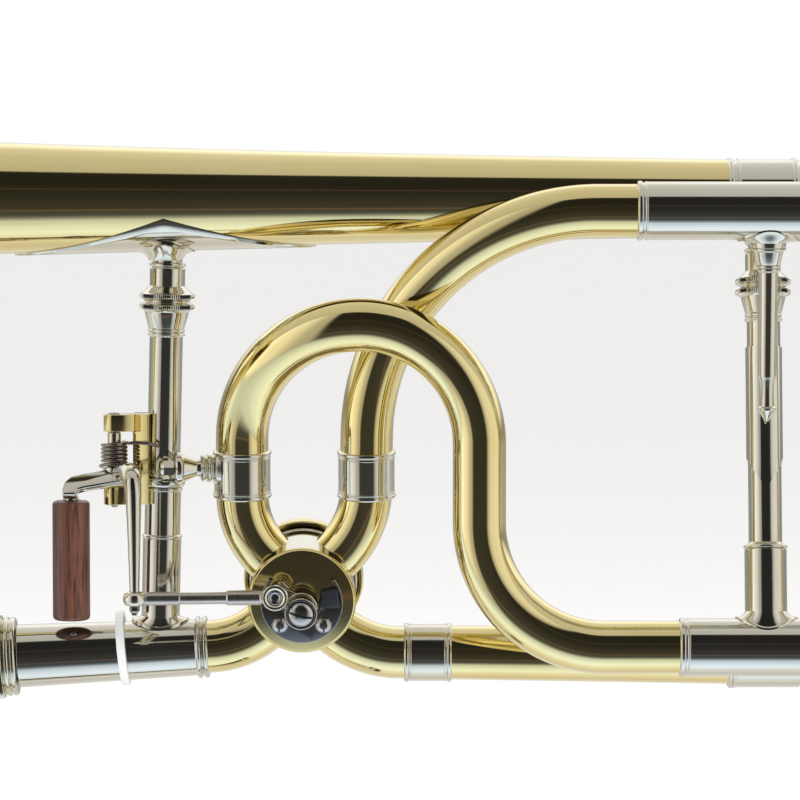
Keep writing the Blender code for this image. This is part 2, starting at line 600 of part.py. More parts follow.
def make_link(swing):
    """The rod carries an eye round the lever's ball and a cup that sits just ahead of the arm's ball."""
    turn = carrier("link_axis", LEVER_BALL, LINK_AXIS, swing)
    eye = [(3.4, 2.0), (3.4, -2.0), (2.75, -2.0), (2.75, 2.0)]
    link = turned("link_rod", "nickel_silver", eye, LEVER_BALL, UP, ring=True, carried_by=turn)
    reach = (LINK_CUP - LEVER_BALL).normalized()
    combine(link, rod("link_bar", "nickel_silver", LEVER_BALL + reach * 3.0, LINK_CUP, 1.9, 8), "UNION")
    cup = rod("link_cup", "nickel_silver", LINK_CUP + Vector((0.0, 1.6, 0.0)),
              LINK_CUP - Vector((0.0, 2.6, 0.0)), 3.3, 10)
    combine(link, cup, "UNION")


# ---------------------------------------------------------------- tuning slides

def make_main_tuning_slide():
    pull = carrier("main_tuning_axis", Vector((LEG_END_X, 0.0, BELL_Z)), REARWARD)
    for name, radius, z in (("tuning_leg_upper", 9.3, BELL_Z), ("tuning_leg_lower", 8.0, GOOSENECK_Z)):
        profile = [(radius, LEG_END_X), (radius, 190.0), (radius - 0.7, 190.0), (radius - 0.7, LEG_END_X)]
        turned(name, "nickel_silver", profile, Vector((0.0, 0.0, z)), REARWARD, sides=16, ring=True,
               carried_by=pull)
    middle = (BELL_Z + GOOSENECK_Z) / 2.0
    bend = arc(LEG_END_X + 1.5, middle, BELL_Z - middle, 90.0, -90.0, 8)
    bend = level([(LEG_END_X + 2.0 * GAP, BELL_Z)] + bend + [(LEG_END_X + 2.0 * GAP, GOOSENECK_Z)])
    tube("tuning_bow", "lacquered_brass", bend, 10.4, 0.8, end_radius=9.0, carried_by=pull)
    low = Vector((290.0, 0.0, GOOSENECK_Z + 8.0 + GAP))
    high = Vector((290.0, 0.0, BELL_Z - 9.3 - GAP))
    span = (high - low).length
    profile = [(5.0, span), (3.6, span - 5.0), (3.6, 5.0), (5.0, 0.0)]
    turned("tuning_bow_brace", "nickel_silver", solid_profile(profile), low, UP, carried_by=pull)


def make_f_tuning_slide():
    pull = carrier("f_tuning_axis", Vector((F_BOW_X, F_PLANE_Y, F_UPPER_Z)), REARWARD)
    middle = (F_UPPER_Z + F_LOWER_Z) / 2.0
    bend = arc(F_BOW_X, middle, F_UPPER_Z - middle, 90.0, -90.0, 8)
    path = level([(160.0, F_UPPER_Z)] + bend + [(160.0, F_LOWER_Z)], F_PLANE_Y)
    tube("f_slide_bow", "nickel_silver", path, 7.2, 0.6, carried_by=pull)


# ---------------------------------------------------------------- handslide

def make_inner_slide():
    swivel = carrier("swivel_axis", on_slide(60.0), BACKWARD)
    player = on_slide(0.0, SLIDE_SPACING)
    barrel = [(6.9, -5.0), (7.0, -64.5), (10.5, -64.8), (10.5, -130.0), (9.2, -130.0), (9.2, -112.0),
              (6.1, -112.0), (6.1, -5.0)]
    turned("bell_side_barrel", "nickel_silver", barrel, Vector(), BACKWARD, sides=16, ring=True,
           carried_by=swivel)
    barrel = [(10.5, -62.0), (10.5, -130.0), (9.2, -130.0), (9.2, -112.0), (6.1, -112.0), (6.1, -62.0)]
    turned("player_side_barrel", "nickel_silver", barrel, player, BACKWARD, sides=16, ring=True,
           carried_by=swivel)
    socket = [(8.9, -16.0), (8.9, -19.0), (8.2, -19.5), (8.2, -61.7), (6.1, -61.7), (6.1, -43.0),
              (7.4, -43.0), (7.4, -16.0)]
    turned("mouthpiece_receiver", "nickel_silver", socket, player, BACKWARD, sides=16, ring=True,
           carried_by=swivel)
    for name, base in (("inner_slide_bell_side", Vector()), ("inner_slide_player_side", player)):
        profile = [(7.2, -112.3), (7.2, -712.0), (6.7, -712.0), (6.7, -112.3)]
        turned(name, "silver_plate", profile, base, BACKWARD, sides=16, ring=True, carried_by=swivel)
    slide_brace("inner_slide_brace", 86.0, 10.5, swivel)
    return swivel


def slide_brace(name, along, tube_radius, carried_by):
    """A grip bar between the two slide tubes, flared at both ends."""
    span = SLIDE_SPACING - 2.0 * (tube_radius + GAP)
    profile = [(6.0, span), (3.8, span - 8.0), (4.6, span * 0.5), (3.8, 8.0), (6.0, 0.0)]
    turned(name, "nickel_silver", solid_profile(profile), on_slide(along, tube_radius + GAP), ACROSS,
           carried_by=carried_by)


def make_lock_ring(swivel):
    player = on_slide(0.0, SLIDE_SPACING)
    spin = carrier("lock_ring_axis", on_slide(124.0, SLIDE_SPACING), BACKWARD, swivel)
    profile = [(12.2, -116.0), (12.2, -129.0), (10.95, -129.0), (10.95, -116.0)]
    turned("slide_lock_ring", "nickel_silver", profile, player, BACKWARD, sides=16, ring=True,
           carried_by=spin)


def make_outer_slide(swivel):
    run = carrier("outer_slide_axis", on_slide(135.0), FORWARD, swivel)
    player = on_slide(0.0, SLIDE_SPACING)
    for name, base in (("outer_slide_bell_side", Vector()), ("outer_slide_player_side", player)):
        profile = [(8.2, -116.0), (8.2, -CROOK_START + GAP), (7.7, -CROOK_START + GAP), (7.7, -116.0)]
        turned(name, "lacquered_brass", profile, base, BACKWARD, sides=16, ring=True, carried_by=run)
    slide_brace("outer_slide_brace", 152.0, 8.2, run)
    half = SLIDE_SPACING / 2.0
    turns = [math.pi * i / 8.0 for i in range(9)]
    bend = [on_slide(CROOK_START + 1.0 + half * math.sin(a), half - half * math.cos(a)) for a in turns]
    bend = [on_slide(CROOK_START)] + bend + [on_slide(CROOK_START, SLIDE_SPACING)]
    tube("slide_crook", "nickel_silver", bend, 8.4, 0.7, carried_by=run)
    tip = CROOK_START + 1.0 + half + 8.4
    profile = [(4.4, -tip - 0.4), (4.4, -tip - 8.4)]
    turned("slide_bumper", "black_rubber", solid_profile(profile), ACROSS * half, BACKWARD,
           carried_by=run)
    return run


def make_water_key(run):
    """A sprung lever whose cork pad covers the drain hole at the crook's tip."""
    half = SLIDE_SPACING / 2.0
    middle = CROOK_START + half
    depth = -8.4 - GAP
    rod("water_key_saddle", "nickel_silver", on_slide(middle, half, depth),
        on_slide(middle, half, depth - 3.0), 3.4, 10, carried_by=run)
    pivot = carrier("water_key_axis", on_slide(WATER_PIVOT, half, depth - 4.6), -ACROSS, run)
    pad = rod("water_key", "nickel_silver", on_slide(middle, half, depth - 3.3 - GAP),
              on_slide(middle, half, depth - 6.0), 3.9, 10, carried_by=pivot)
    bar = rod("key_bar", "nickel_silver", on_slide(middle, half, depth - 4.6),
              on_slide(WATER_PIVOT - 24.0, half, depth - 6.4), 1.5, 8)
    touch = rod("key_touch", "nickel_silver", on_slide(WATER_PIVOT - 26.0, half, depth - 5.4),
                on_slide(WATER_PIVOT - 26.0, half, depth - 7.4), 4.5, 10)
    combine(pad, bar, "UNION")
    combine(pad, touch, "UNION")


def make_mouthpiece(swivel):
    pull = carrier("mouthpiece_axis", on_slide(0.0, SLIDE_SPACING), BACKWARD, swivel)
    profile = [(16.5, 44.0), (19.2, 43.0), (19.4, 40.5), (16.8, 37.0), (13.5, 22.0), (9.4, 10.0),
               (7.3, 2.0), (7.0, -14.0), (6.2, -38.0), (4.8, -38.0), (3.4, 4.0), (4.4, 14.0),
               (9.8, 19.0), (12.2, 29.0), (12.9, 41.5), (14.2, 43.6)]
    turned("mouthpiece", "silver_plate", profile, on_slide(0.0, SLIDE_SPACING), BACKWARD, sides=16,
           ring=True, carried_by=pull)


# ---------------------------------------------------------------- the instrument

clear_scene()
TROMBONE = make_collection("trombone")
TOOLS = make_collection("guides")

make_bell()
make_bell_flange()
make_tuning_sleeves()
make_bell_brace()
make_receiver()
make_lock_nut()
make_valve_body()
make_stops()
make_stop_arm(make_rotor())
make_valve_tubes()
make_f_risers()
make_f_wrap()
make_struts()
make_trigger_hinge()
make_trigger_spring()
make_link(make_trigger())
make_main_tuning_slide()
make_f_tuning_slide()
INNER_SLIDE = make_inner_slide()
make_lock_ring(INNER_SLIDE)
make_mouthpiece(INNER_SLIDE)
make_water_key(make_outer_slide(INNER_SLIDE))
bpy.context.view_layer.update()
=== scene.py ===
import json
import math

import bmesh
import bpy
from mathutils import Matrix, Vector

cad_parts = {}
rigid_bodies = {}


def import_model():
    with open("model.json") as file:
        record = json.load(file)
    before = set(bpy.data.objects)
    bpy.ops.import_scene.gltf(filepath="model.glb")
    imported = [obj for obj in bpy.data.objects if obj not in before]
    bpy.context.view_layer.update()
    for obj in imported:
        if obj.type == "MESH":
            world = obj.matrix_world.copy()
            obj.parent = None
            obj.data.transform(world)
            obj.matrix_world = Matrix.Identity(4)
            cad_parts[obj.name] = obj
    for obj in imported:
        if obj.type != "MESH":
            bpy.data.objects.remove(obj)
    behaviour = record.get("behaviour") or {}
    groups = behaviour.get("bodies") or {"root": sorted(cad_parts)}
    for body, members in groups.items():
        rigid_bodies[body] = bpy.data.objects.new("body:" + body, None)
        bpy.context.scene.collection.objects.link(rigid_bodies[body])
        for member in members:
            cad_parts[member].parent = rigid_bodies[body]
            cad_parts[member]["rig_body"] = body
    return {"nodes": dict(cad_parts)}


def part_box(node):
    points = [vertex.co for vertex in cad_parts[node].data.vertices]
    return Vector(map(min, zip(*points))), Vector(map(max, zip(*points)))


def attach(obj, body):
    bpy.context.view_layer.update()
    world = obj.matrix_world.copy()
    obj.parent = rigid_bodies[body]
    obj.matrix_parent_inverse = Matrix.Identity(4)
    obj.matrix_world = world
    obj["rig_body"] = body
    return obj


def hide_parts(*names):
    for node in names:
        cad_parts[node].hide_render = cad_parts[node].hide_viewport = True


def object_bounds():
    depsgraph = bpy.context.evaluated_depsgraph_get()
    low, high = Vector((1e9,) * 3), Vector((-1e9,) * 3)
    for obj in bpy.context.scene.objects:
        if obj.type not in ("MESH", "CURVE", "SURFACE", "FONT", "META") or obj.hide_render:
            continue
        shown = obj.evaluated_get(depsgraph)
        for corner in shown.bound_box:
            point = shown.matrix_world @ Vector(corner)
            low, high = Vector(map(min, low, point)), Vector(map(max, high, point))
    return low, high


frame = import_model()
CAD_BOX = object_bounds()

MM = 0.001
REARWARD = Vector((1.0, 0.0, 0.0))
UP = Vector((0.0, 0.0, 1.0))
OUTWARD = Vector((0.0, -1.0, 0.0))
SHARP_EDGE = math.radians(38.0)


def low(node):
    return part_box(node)[0] / MM


def high(node):
    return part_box(node)[1] / MM


def middle(node):
    return (low(node) + high(node)) * 0.5


# Driving sizes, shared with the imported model
BELL_RIM_R = 108.0
BELL_RIM_X = low("bell").x + 2.0
BELL_TAIL_X = high("bell").x
BELL_Z = middle("bell").z
BELL_WALL = 0.9
FLARE_LENGTH, FLARE_POWER = 20.7, 0.7
F_TUBE_R, F_WALL = 7.65, 0.7
F_PLANE_Y = middle("f_upper_sleeve").y
F_UPPER_Z = middle("f_upper_sleeve").z
F_LOWER_Z = middle("f_lower_sleeve").z
F_LEFT_X, F_RIGHT_X = 22.4, 58.6
FERRULE_Z, FERRULE_HALF = 52.0, 6.95
LEFT_LOOP = (56.8, 62.2, 34.4)          # centre x, centre z and radius of each bend
LOWER_BEND = (127.5, 39.7, 36.3)
RIGHT_BEND = (125.5, 62.4, 66.8)
GOOSENECK_Z = middle("gooseneck_sleeve").z
WRAP_FRONT_Y = -25.4                   # the left loop runs in front of the other tubes
BRACE_LEAN = 0.024                     # the left-hand brace's top leans back a little
REAR_BRACE_X = 174.0
BOW_BRACE_X = 290.0
VALVE = Vector((39.9, 0.0, 17.9))
VALVE_TILT = math.radians(10.0)
VALVE_R = 15.5
CRANK_ANGLE, CRANK_REACH, LUG_ANGLE = 150.0, 8.6, 135.0
HINGE = Vector((-14.9, -5.0, 0.0))
LEVER_BALL = Vector((-7.65, -30.5, 18.2))
BARREL_AXIS = Vector((-27.5, -6.5, 0.0))
LINK_CUP = Vector((32.5, -26.6, 18.2))
SLIDE_TILT = math.radians(2.83)
SLIDE_SPACING = 88.0
CROOK_START = 716.0
FORWARD = Vector((-math.cos(SLIDE_TILT), 0.0, -math.sin(SLIDE_TILT)))
ACROSS = Vector((math.sin(SLIDE_TILT), 0.0, -math.cos(SLIDE_TILT)))
BACKWARD = -FORWARD
VALVE_FRONT = Vector((0.0, -math.cos(VALVE_TILT), -math.sin(VALVE_TILT)))
VALVE_UP = Vector((0.0, -math.sin(VALVE_TILT), math.cos(VALVE_TILT)))


# ---------------------------------------------------------------- materials

def linear(hex_code):
    """An sRGB hex colour as the linear colour that the shaders take."""
    parts = [int(hex_code[i:i + 2], 16) / 255.0 for i in (1, 3, 5)]
    return tuple(c / 12.92 if c <= 0.04045 else ((c + 0.055) / 1.055) ** 2.4 for c in parts) + (1.0,)


def add(tree, kind, values=None, links=None, **options):
    """Add a node with its options, its input values and the outputs that feed it."""
    made = tree.nodes.new("ShaderNode" + kind)
    for option, value in options.items():
        setattr(made, option, value)
    for socket, value in (values or {}).items():
        made.inputs[socket].default_value = value
    for socket, source in (links or {}).items():
        tree.links.new(source, made.inputs[socket])
    return made


def new_material(name, **sockets):
    made = bpy.data.materials.new(name)
    made.use_nodes = True
    shader = made.node_tree.nodes["Principled BSDF"]
    for socket, value in sockets.items():
        shader.inputs[socket.replace("_", " ")].default_value = value
    return made, made.node_tree, shader


def spread(tree, source, lowest, highest, start=0.3, end=0.7):
    """Spread a noise's middle range between two values."""
    return add(tree, "MapRange", {"From Min": start, "From Max": end, "To Min": lowest, "To Max": highest},
               {"Value": source}).outputs["Result"]


TINT_DRIFT_MM = 45.0      # a metal's colour drifts slowly over a piece
WAVE_DEPTH_MM = 0.008     # a buffed wall is never quite true
LATHE_LINE_MM = 0.45      # a lathe's own lines are finer: these are as coarse as they need to be to show


def polished_metal(name, light, dark, rough, smear_mm, wave_mm, turned_lines, coat=0.0):
    """Buffed metal: a colour that drifts a little, hand-polish smears in the gloss, a slow waviness
    of the wall, and on turned pieces the fine rings that the lathe left."""
    made, tree, shader = new_material(name, Metallic=1.0, Coat_Weight=coat, Coat_Roughness=0.03)
    spot = add(tree, "TexCoord").outputs["Object"]
    drift = add(tree, "TexNoise", {"Scale": 1.0 / (TINT_DRIFT_MM * MM), "Detail": 2.0}, {"Vector": spot})
    tint = add(tree, "Mix", {6: linear(dark), 7: linear(light)},
               {0: spread(tree, drift.outputs["Fac"], 0.0, 1.0)}, data_type="RGBA")
    tree.links.new(tint.outputs[2], shader.inputs["Base Color"])
    smear = add(tree, "TexNoise", {"Scale": 1.0 / (smear_mm * MM), "Detail": 5.0, "Roughness": 0.65},
                {"Vector": spot})
    tree.links.new(spread(tree, smear.outputs["Fac"], rough[0], rough[1]), shader.inputs["Roughness"])
    wave = add(tree, "TexNoise", {"Scale": 1.0 / (wave_mm * MM), "Detail": 1.0}, {"Vector": spot})
    normal = add(tree, "Bump", {"Strength": 1.0, "Distance": WAVE_DEPTH_MM * MM},
                 {"Height": wave.outputs["Fac"]})
    if turned_lines:
        flat = add(tree, "VectorMath", {1: (1.0, 1.0, 0.0)}, {0: spot}, operation="MULTIPLY")
        radius = add(tree, "VectorMath", links={0: flat.outputs[0]}, operation="LENGTH")
        depth = add(tree, "SeparateXYZ", links={0: spot})
        along = add(tree, "Math", links={0: radius.outputs["Value"], 1: depth.outputs["Z"]}, operation="ADD")
        rings = add(tree, "TexNoise", {"Scale": 1.0 / (LATHE_LINE_MM * MM), "Detail": 3.0},
                    {"W": along.outputs[0]}, noise_dimensions="1D")
        normal = add(tree, "Bump", {"Strength": 1.0, "Distance": turned_lines * MM},
                     {"Height": rings.outputs["Fac"], "Normal": normal.outputs["Normal"]})
    tree.links.new(normal.outputs["Normal"], shader.inputs["Normal"])
    return made


def make_rosewood():
    """Oiled rosewood, turned along the grain: dark pore lines run the barrel's length over a red-brown
    ground that lightens on one side, and the oil leaves a dull sheen."""
    made, tree, shader = new_material("oiled_rosewood_turned", Coat_Weight=0.25, Coat_Roughness=0.25)
    spot = add(tree, "TexCoord").outputs["Object"]
    stretched = add(tree, "Mapping", {"Scale": (1.0, 1.0, 0.07)}, {"Vector": spot})
    warp = add(tree, "TexNoise", {"Scale": 1.0 / (9.0 * MM), "Detail": 3.0},
               {"Vector": stretched.outputs[0]})
    grain = add(tree, "TexNoise", {"Scale": 1.0 / (1.1 * MM), "Detail": 6.0, "Roughness": 0.7,
                                   "Distortion": 0.4}, {"Vector": stretched.outputs[0]})
    ground = add(tree, "Mix", {6: linear("#3C221C"), 7: linear("#7A4A38")},
                 {0: spread(tree, warp.outputs["Fac"], 0.0, 1.0, 0.35, 0.65)}, data_type="RGBA")
    pores = add(tree, "Mix", {7: linear("#24130F")},
                {0: spread(tree, grain.outputs["Fac"], 0.85, 0.0, 0.36, 0.52), 6: ground.outputs[2]},
                data_type="RGBA")
    tree.links.new(pores.outputs[2], shader.inputs["Base Color"])
    tree.links.new(spread(tree, grain.outputs["Fac"], 0.55, 0.36), shader.inputs["Roughness"])
    bump = add(tree, "Bump", {"Strength": 0.7, "Distance": 0.05 * MM}, {"Height": grain.outputs["Fac"]})
    tree.links.new(bump.outputs["Normal"], shader.inputs["Normal"])
    return made


def make_soft(name, light, dark, rough, grain_mm, bump_mm, **sockets):
    """Moulded rubber or nylon: a cloudy body colour and a fine matt skin from the mould."""
    made, tree, shader = new_material(name, **sockets)
    spot = add(tree, "TexCoord").outputs["Object"]
    cloud = add(tree, "TexNoise", {"Scale": 1.0 / (3.0 * MM), "Detail": 3.0}, {"Vector": spot})
    tint = add(tree, "Mix", {6: linear(dark), 7: linear(light)},
               {0: spread(tree, cloud.outputs["Fac"], 0.0, 1.0)}, data_type="RGBA")
    tree.links.new(tint.outputs[2], shader.inputs["Base Color"])
    grain = add(tree, "TexNoise", {"Scale": 1.0 / (grain_mm * MM), "Detail": 4.0}, {"Vector": spot})
    tree.links.new(spread(tree, grain.outputs["Fac"], rough[0], rough[1]), shader.inputs["Roughness"])
    bump = add(tree, "Bump", {"Strength": 0.6, "Distance": bump_mm * MM}, {"Height": grain.outputs["Fac"]})
    tree.links.new(bump.outputs["Normal"], shader.inputs["Normal"])
    return made


# Yellow brass tube, drawn, buffed and lacquered: mirror-bright with a thin clear coat over it, pale
# where it meets white light and deep gold where brass reflects brass.
DRAWN_BRASS = polished_metal("lacquered_brass_drawn", "#E7D8A0", "#E0CE8E", (0.035, 0.085),
                             7.0, 16.0, 0.0, 0.35)
# The same brass turned on a lathe: its faces show fine rings that spread a highlight along a radius.
TURNED_BRASS = polished_metal("lacquered_brass_turned", "#E3D398", "#D8C584", (0.07, 0.15),
                              4.0, 14.0, 0.0011, 0.3)
# Spun sheet brass of the bell: long faint spinning rings under the lacquer.
SPUN_BRASS = polished_metal("lacquered_brass_spun", "#E7D8A0", "#E1CF92", (0.04, 0.09),
                            12.0, 30.0, 0.0003, 0.35)
# Nickel silver tube, drawn and buffed: a warm grey mirror with slight ripples.
DRAWN_NICKEL = polished_metal("nickel_silver_drawn", "#D8D5C9", "#D0CCBE", (0.04, 0.10), 5.0, 9.0, 0.0)
# Nickel silver ferrules and collars, turned on a lathe: the same warm grey, softer, because fine rings
# draw each highlight out along the piece.
TURNED_NICKEL = polished_metal("nickel_silver_turned", "#DAD6C8", "#D2CCB9", (0.06, 0.13), 3.0, 8.0, 0.0008)
# Tool steel, ground and blued: dark, with its ground edges brighter where they catch the light.
BLUED_STEEL = polished_metal("blued_steel_ground", "#A3A2A2", "#8D8C8E", (0.12, 0.22), 2.0, 5.0, 0.0009)
# Steel screws, turned bright, and drawn spring wire: greyer than the nickel silver beside them, with a
# blurred gleam in place of a mirror.
SCREW_STEEL = polished_metal("bright_steel_turned", "#C4C2C0", "#AEACA9", (0.12, 0.22), 1.5, 5.0, 0.0012)
SPRING_STEEL = polished_metal("spring_steel_drawn", "#A39B95", "#85796F", (0.18, 0.3), 1.5, 5.0, 0.0)
# Silver plate, polished, on the mouthpiece: the whitest and sharpest mirror. The hard chrome of the
# inner slide tubes looks alike, so they share it.
SILVER_PLATE = polished_metal("silver_plate_polished", "#E9E6DF", "#E2DED4", (0.03, 0.07), 6.0, 20.0, 0.0002)
# Nickel silver brushed with fine abrasive, on the linkage rod: its reflections blur into a grey sheen.
BRUSHED_NICKEL = polished_metal("nickel_silver_brushed", "#CFC8C0", "#BDB5AC", (0.26, 0.36),
                                2.0, 6.0, 0.0012)
ROSEWOOD = make_rosewood()
# Moulded neoprene, near black with a matt skin, and natural nylon, milky because light enters it.
RUBBER = make_soft("neoprene_moulded", "#2B2F36", "#1D2025", (0.45, 0.62), 0.3, 0.02)
NYLON = make_soft("natural_nylon_moulded", "#FBFCFD", "#F1F4F6", (0.3, 0.42), 0.5, 0.008,
                  Subsurface_Weight=0.2, Subsurface_Scale=0.002)


# ---------------------------------------------------------------- making pieces

def mesh_of(name, made):
    mesh = bpy.data.meshes.new(name)
    made.to_mesh(mesh)
    made.free()
    return mesh


def finish_piece(name, mesh, material, stands_for, rides_with=None, place=None):
    """Make the object, let it ride on its body and stand for its CAD nodes."""
    mesh.materials.append(material)
    for face in mesh.polygons:
        face.use_smooth = True
    mesh.set_sharp_from_angle(angle=SHARP_EDGE)
    piece = bpy.data.objects.new(name, mesh)
    bpy.context.scene.collection.objects.link(piece)
    if place:
        piece.matrix_world = place
    body = frame["nodes"][stands_for[0] if stands_for else rides_with]["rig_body"]
    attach(piece, body)
    if stands_for:
        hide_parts(*stands_for)
    return piece


def from_rings(name, rings, closed_ends, loop):
    """A mesh from rings of points; a ring of one point is a pole. closed_ends of 1 closes the first
    end and 2 closes both; loop joins the last ring to the first."""
    made = bmesh.new()
    made_rings = [[made.verts.new(spot * MM) for spot in ring] for ring in rings]
    pairs = list(zip(made_rings, made_rings[1:] + made_rings[:1]))
    for first, second in pairs if loop else pairs[:-1]:
        count = max(len(first), len(second))
        for i in range(count):
            j = (i + 1) % count
            corners = []
            for vert in (first[i % len(first)], first[j % len(first)],
                         second[j % len(second)], second[i % len(second)]):
                if vert not in corners:
                    corners.append(vert)
            made.faces.new(corners)
    if closed_ends > 0:
        made.faces.new(made_rings[0])
    if closed_ends > 1:
        made.faces.new(made_rings[-1])
    bmesh.ops.recalc_face_normals(made, faces=made.faces)
    return mesh_of(name, made)


def rounded(profile, cut, closed):
    """Round a profile's corners and keep a point on each side, so that long faces stay true."""
    count = len(profile)
    soft = []
    for i, corner in enumerate(profile):
        here = Vector(corner)
        if not closed and i in (0, count - 1):
            soft.append(here)
            continue
        before = Vector(profile[i - 1]) - here
        after = Vector(profile[(i + 1) % count]) - here
        if min(before.length, after.length) < 0.01:
            soft.append(here)
            continue
        bend = math.pi - before.angle(after)
        if bend < math.radians(16.0):
            soft.append(here)
            continue
        reach = min(cut, 0.28 * before.length, 0.28 * after.length)
        start = here + before.normalized() * reach
        end = here + after.normalized() * reach
        soft.append(here + before.normalized() * reach * 1.6)
        for step in range(4):
            share = step / 3.0
            soft.append(start.lerp(here, share).lerp(here.lerp(end, share), share))
        soft.append(here + after.normalized() * reach * 1.6)
    return soft


def bead(radius, height, width, proud):
    """Profile points of a half-round bead, from its upper side to its lower side."""
    angles = [math.pi * (0.5 - i / 6.0) for i in range(7)]
    return [(radius + proud * math.cos(a), height + 0.5 * width * math.sin(a)) for a in angles]


def upright(base, axis):
    """A place at base whose own +Z points along axis."""
    return Matrix.Translation(base * MM) @ UP.rotation_difference(axis).to_matrix().to_4x4()


def turned(name, material, stands_for, profile, base, axis, sides=96, bore=None, knurls=(), count=0,
           cut=0.25, rides_with=None):
    """A lathe-turned piece: (radius, height) pairs down the outer side. bore closes it as a ring.
    Between the heights in knurls, count small ridges are cut along the axis."""
    if bore is not None:
        profile = profile + [(bore, profile[-1][1]), (bore, profile[0][1])]
    soft = rounded(profile, cut, bore is not None)
    if count:
        sides = 4 * count
    rings = []
    for radius, height in soft:
        if radius < 0.001:
            rings.append([Vector((0.0, 0.0, height))])
            continue
        cuts = [depth for bottom, top, depth in knurls if bottom <= height <= top]
        ring = []
        for i in range(sides):
            ridge = cuts[0] * abs((i % 4) - 2) / 2.0 if cuts else 0.0
            angle = 2.0 * math.pi * i / sides
            reach = radius - ridge
            ring.append(Vector((reach * math.cos(angle), reach * math.sin(angle), height)))
        rings.append(ring)
    mesh = from_rings(name, rings, 0, bore is not None)
    return finish_piece(name, mesh, material, stands_for, rides_with, upright(base, axis))


def capped(profile):
    """Close a profile on its axis at both ends, so that it turns a solid piece."""
    return [(0.0, profile[0][1])] + profile + [(0.0, profile[-1][1])]


def swept(name, material, stands_for, path, radius, wall=0.0, sides=64, end_radius=None, rides_with=None,
          taper_from=0.0):
    """A tube or rod along a dense path. wall 0 makes a solid rod with rounded ends. The radius
    goes over to end_radius from the share of the length that taper_from gives."""
    count = len(path)
    tangents = []
    for i in range(count):
        tangents.append((path[min(i + 1, count - 1)] - path[max(i - 1, 0)]).normalized())
    side = tangents[0].cross(Vector((0.0, 1.0, 0.0)))
    if side.length < 0.2:
        side = tangents[0].cross(REARWARD)
    side.normalize()
    frames = []
    for i in range(count):
        if i:
            side = (side - tangents[i] * side.dot(tangents[i])).normalized()
        frames.append((side.copy(), tangents[i].cross(side)))

    def ring(i, size, shift=0.0):
        across, other = frames[i]
        centre = path[i] + tangents[i] * shift
        return [centre + across * size * math.cos(a) + other * size * math.sin(a)
                for a in (2.0 * math.pi * k / sides for k in range(sides))]

    shares = [max(0.0, i / (count - 1) - taper_from) / (1.0 - taper_from) for i in range(count)]
    sizes = [radius + share * ((end_radius or radius) - radius) for share in shares]
    outer = [ring(i, sizes[i]) for i in range(count)]
    if wall:
        rings = outer + [ring(i, sizes[i] - wall) for i in reversed(range(count))]
        mesh = from_rings(name, rings, 0, True)
    else:
        first = [ring(0, sizes[0] * math.cos(a), -sizes[0] * 0.5 * math.sin(a)) for a in (1.25, 0.85, 0.4)]
        last = [ring(count - 1, sizes[-1] * math.cos(a), sizes[-1] * 0.5 * math.sin(a))
                for a in (0.4, 0.85, 1.25)]
        mesh = from_rings(name, first + outer + last, 2, False)
    return finish_piece(name, mesh, material, stands_for, rides_with)


def plate(name, material, stands_for, outline, thickness, place, bevel=0.25, rides_with=None):
    """A flat plate from an outline of (x, y) points, its edges broken by a small bevel."""
    made = bmesh.new()
    bottom = [made.verts.new((x * MM, y * MM, -0.5 * thickness * MM)) for x, y in outline]
    base = made.faces.new(bottom)
    raised = bmesh.ops.extrude_face_region(made, geom=[base])
    moved = [v for v in raised["geom"] if isinstance(v, bmesh.types.BMVert)]
    bmesh.ops.translate(made, verts=moved, vec=(0.0, 0.0, thickness * MM))
    bmesh.ops.recalc_face_normals(made, faces=made.faces)
    edges = [e for e in made.edges if len(e.link_faces) == 2 and e.calc_face_angle() > math.radians(50.0)]
    bmesh.ops.bevel(made, geom=edges, offset=bevel * MM, segments=3, profile=0.5, affect="EDGES",
                    clamp_overlap=True)
    return finish_piece(name, mesh_of(name, made), material, stands_for, rides_with, place)


def slotted(piece, width, depth, angle, top):
    """Cut a screwdriver slot across the top of a turned head."""
    block = bmesh.new()
    bmesh.ops.create_cube(block, size=1.0)
    bmesh.ops.scale(block, vec=(30.0 * MM, width * MM, 2.0 * depth * MM), verts=block.verts)
    cutter = bpy.data.objects.new("slot_cutter", mesh_of("slot_cutter", block))
    bpy.context.scene.collection.objects.link(cutter)
    cutter.matrix_world = piece.matrix_world @ Matrix.Translation((0.0, 0.0, top * MM)) @ \
        Matrix.Rotation(angle, 4, "Z")
    bpy.context.view_layer.update()
    cut = piece.modifiers.new("slot", "BOOLEAN")
    cut.object = cutter
    cut.operation = "DIFFERENCE"
    bpy.context.view_layer.update()
    result = bpy.data.meshes.new_from_object(piece.evaluated_get(bpy.context.evaluated_depsgraph_get()))
    result.set_sharp_from_angle(angle=SHARP_EDGE)
    piece.modifiers.clear()
    piece.data = result
    bpy.data.objects.remove(cutter)


def smooth(share):
    share = min(1.0, max(0.0, share))
    return share * share * (3.0 - 2.0 * share)


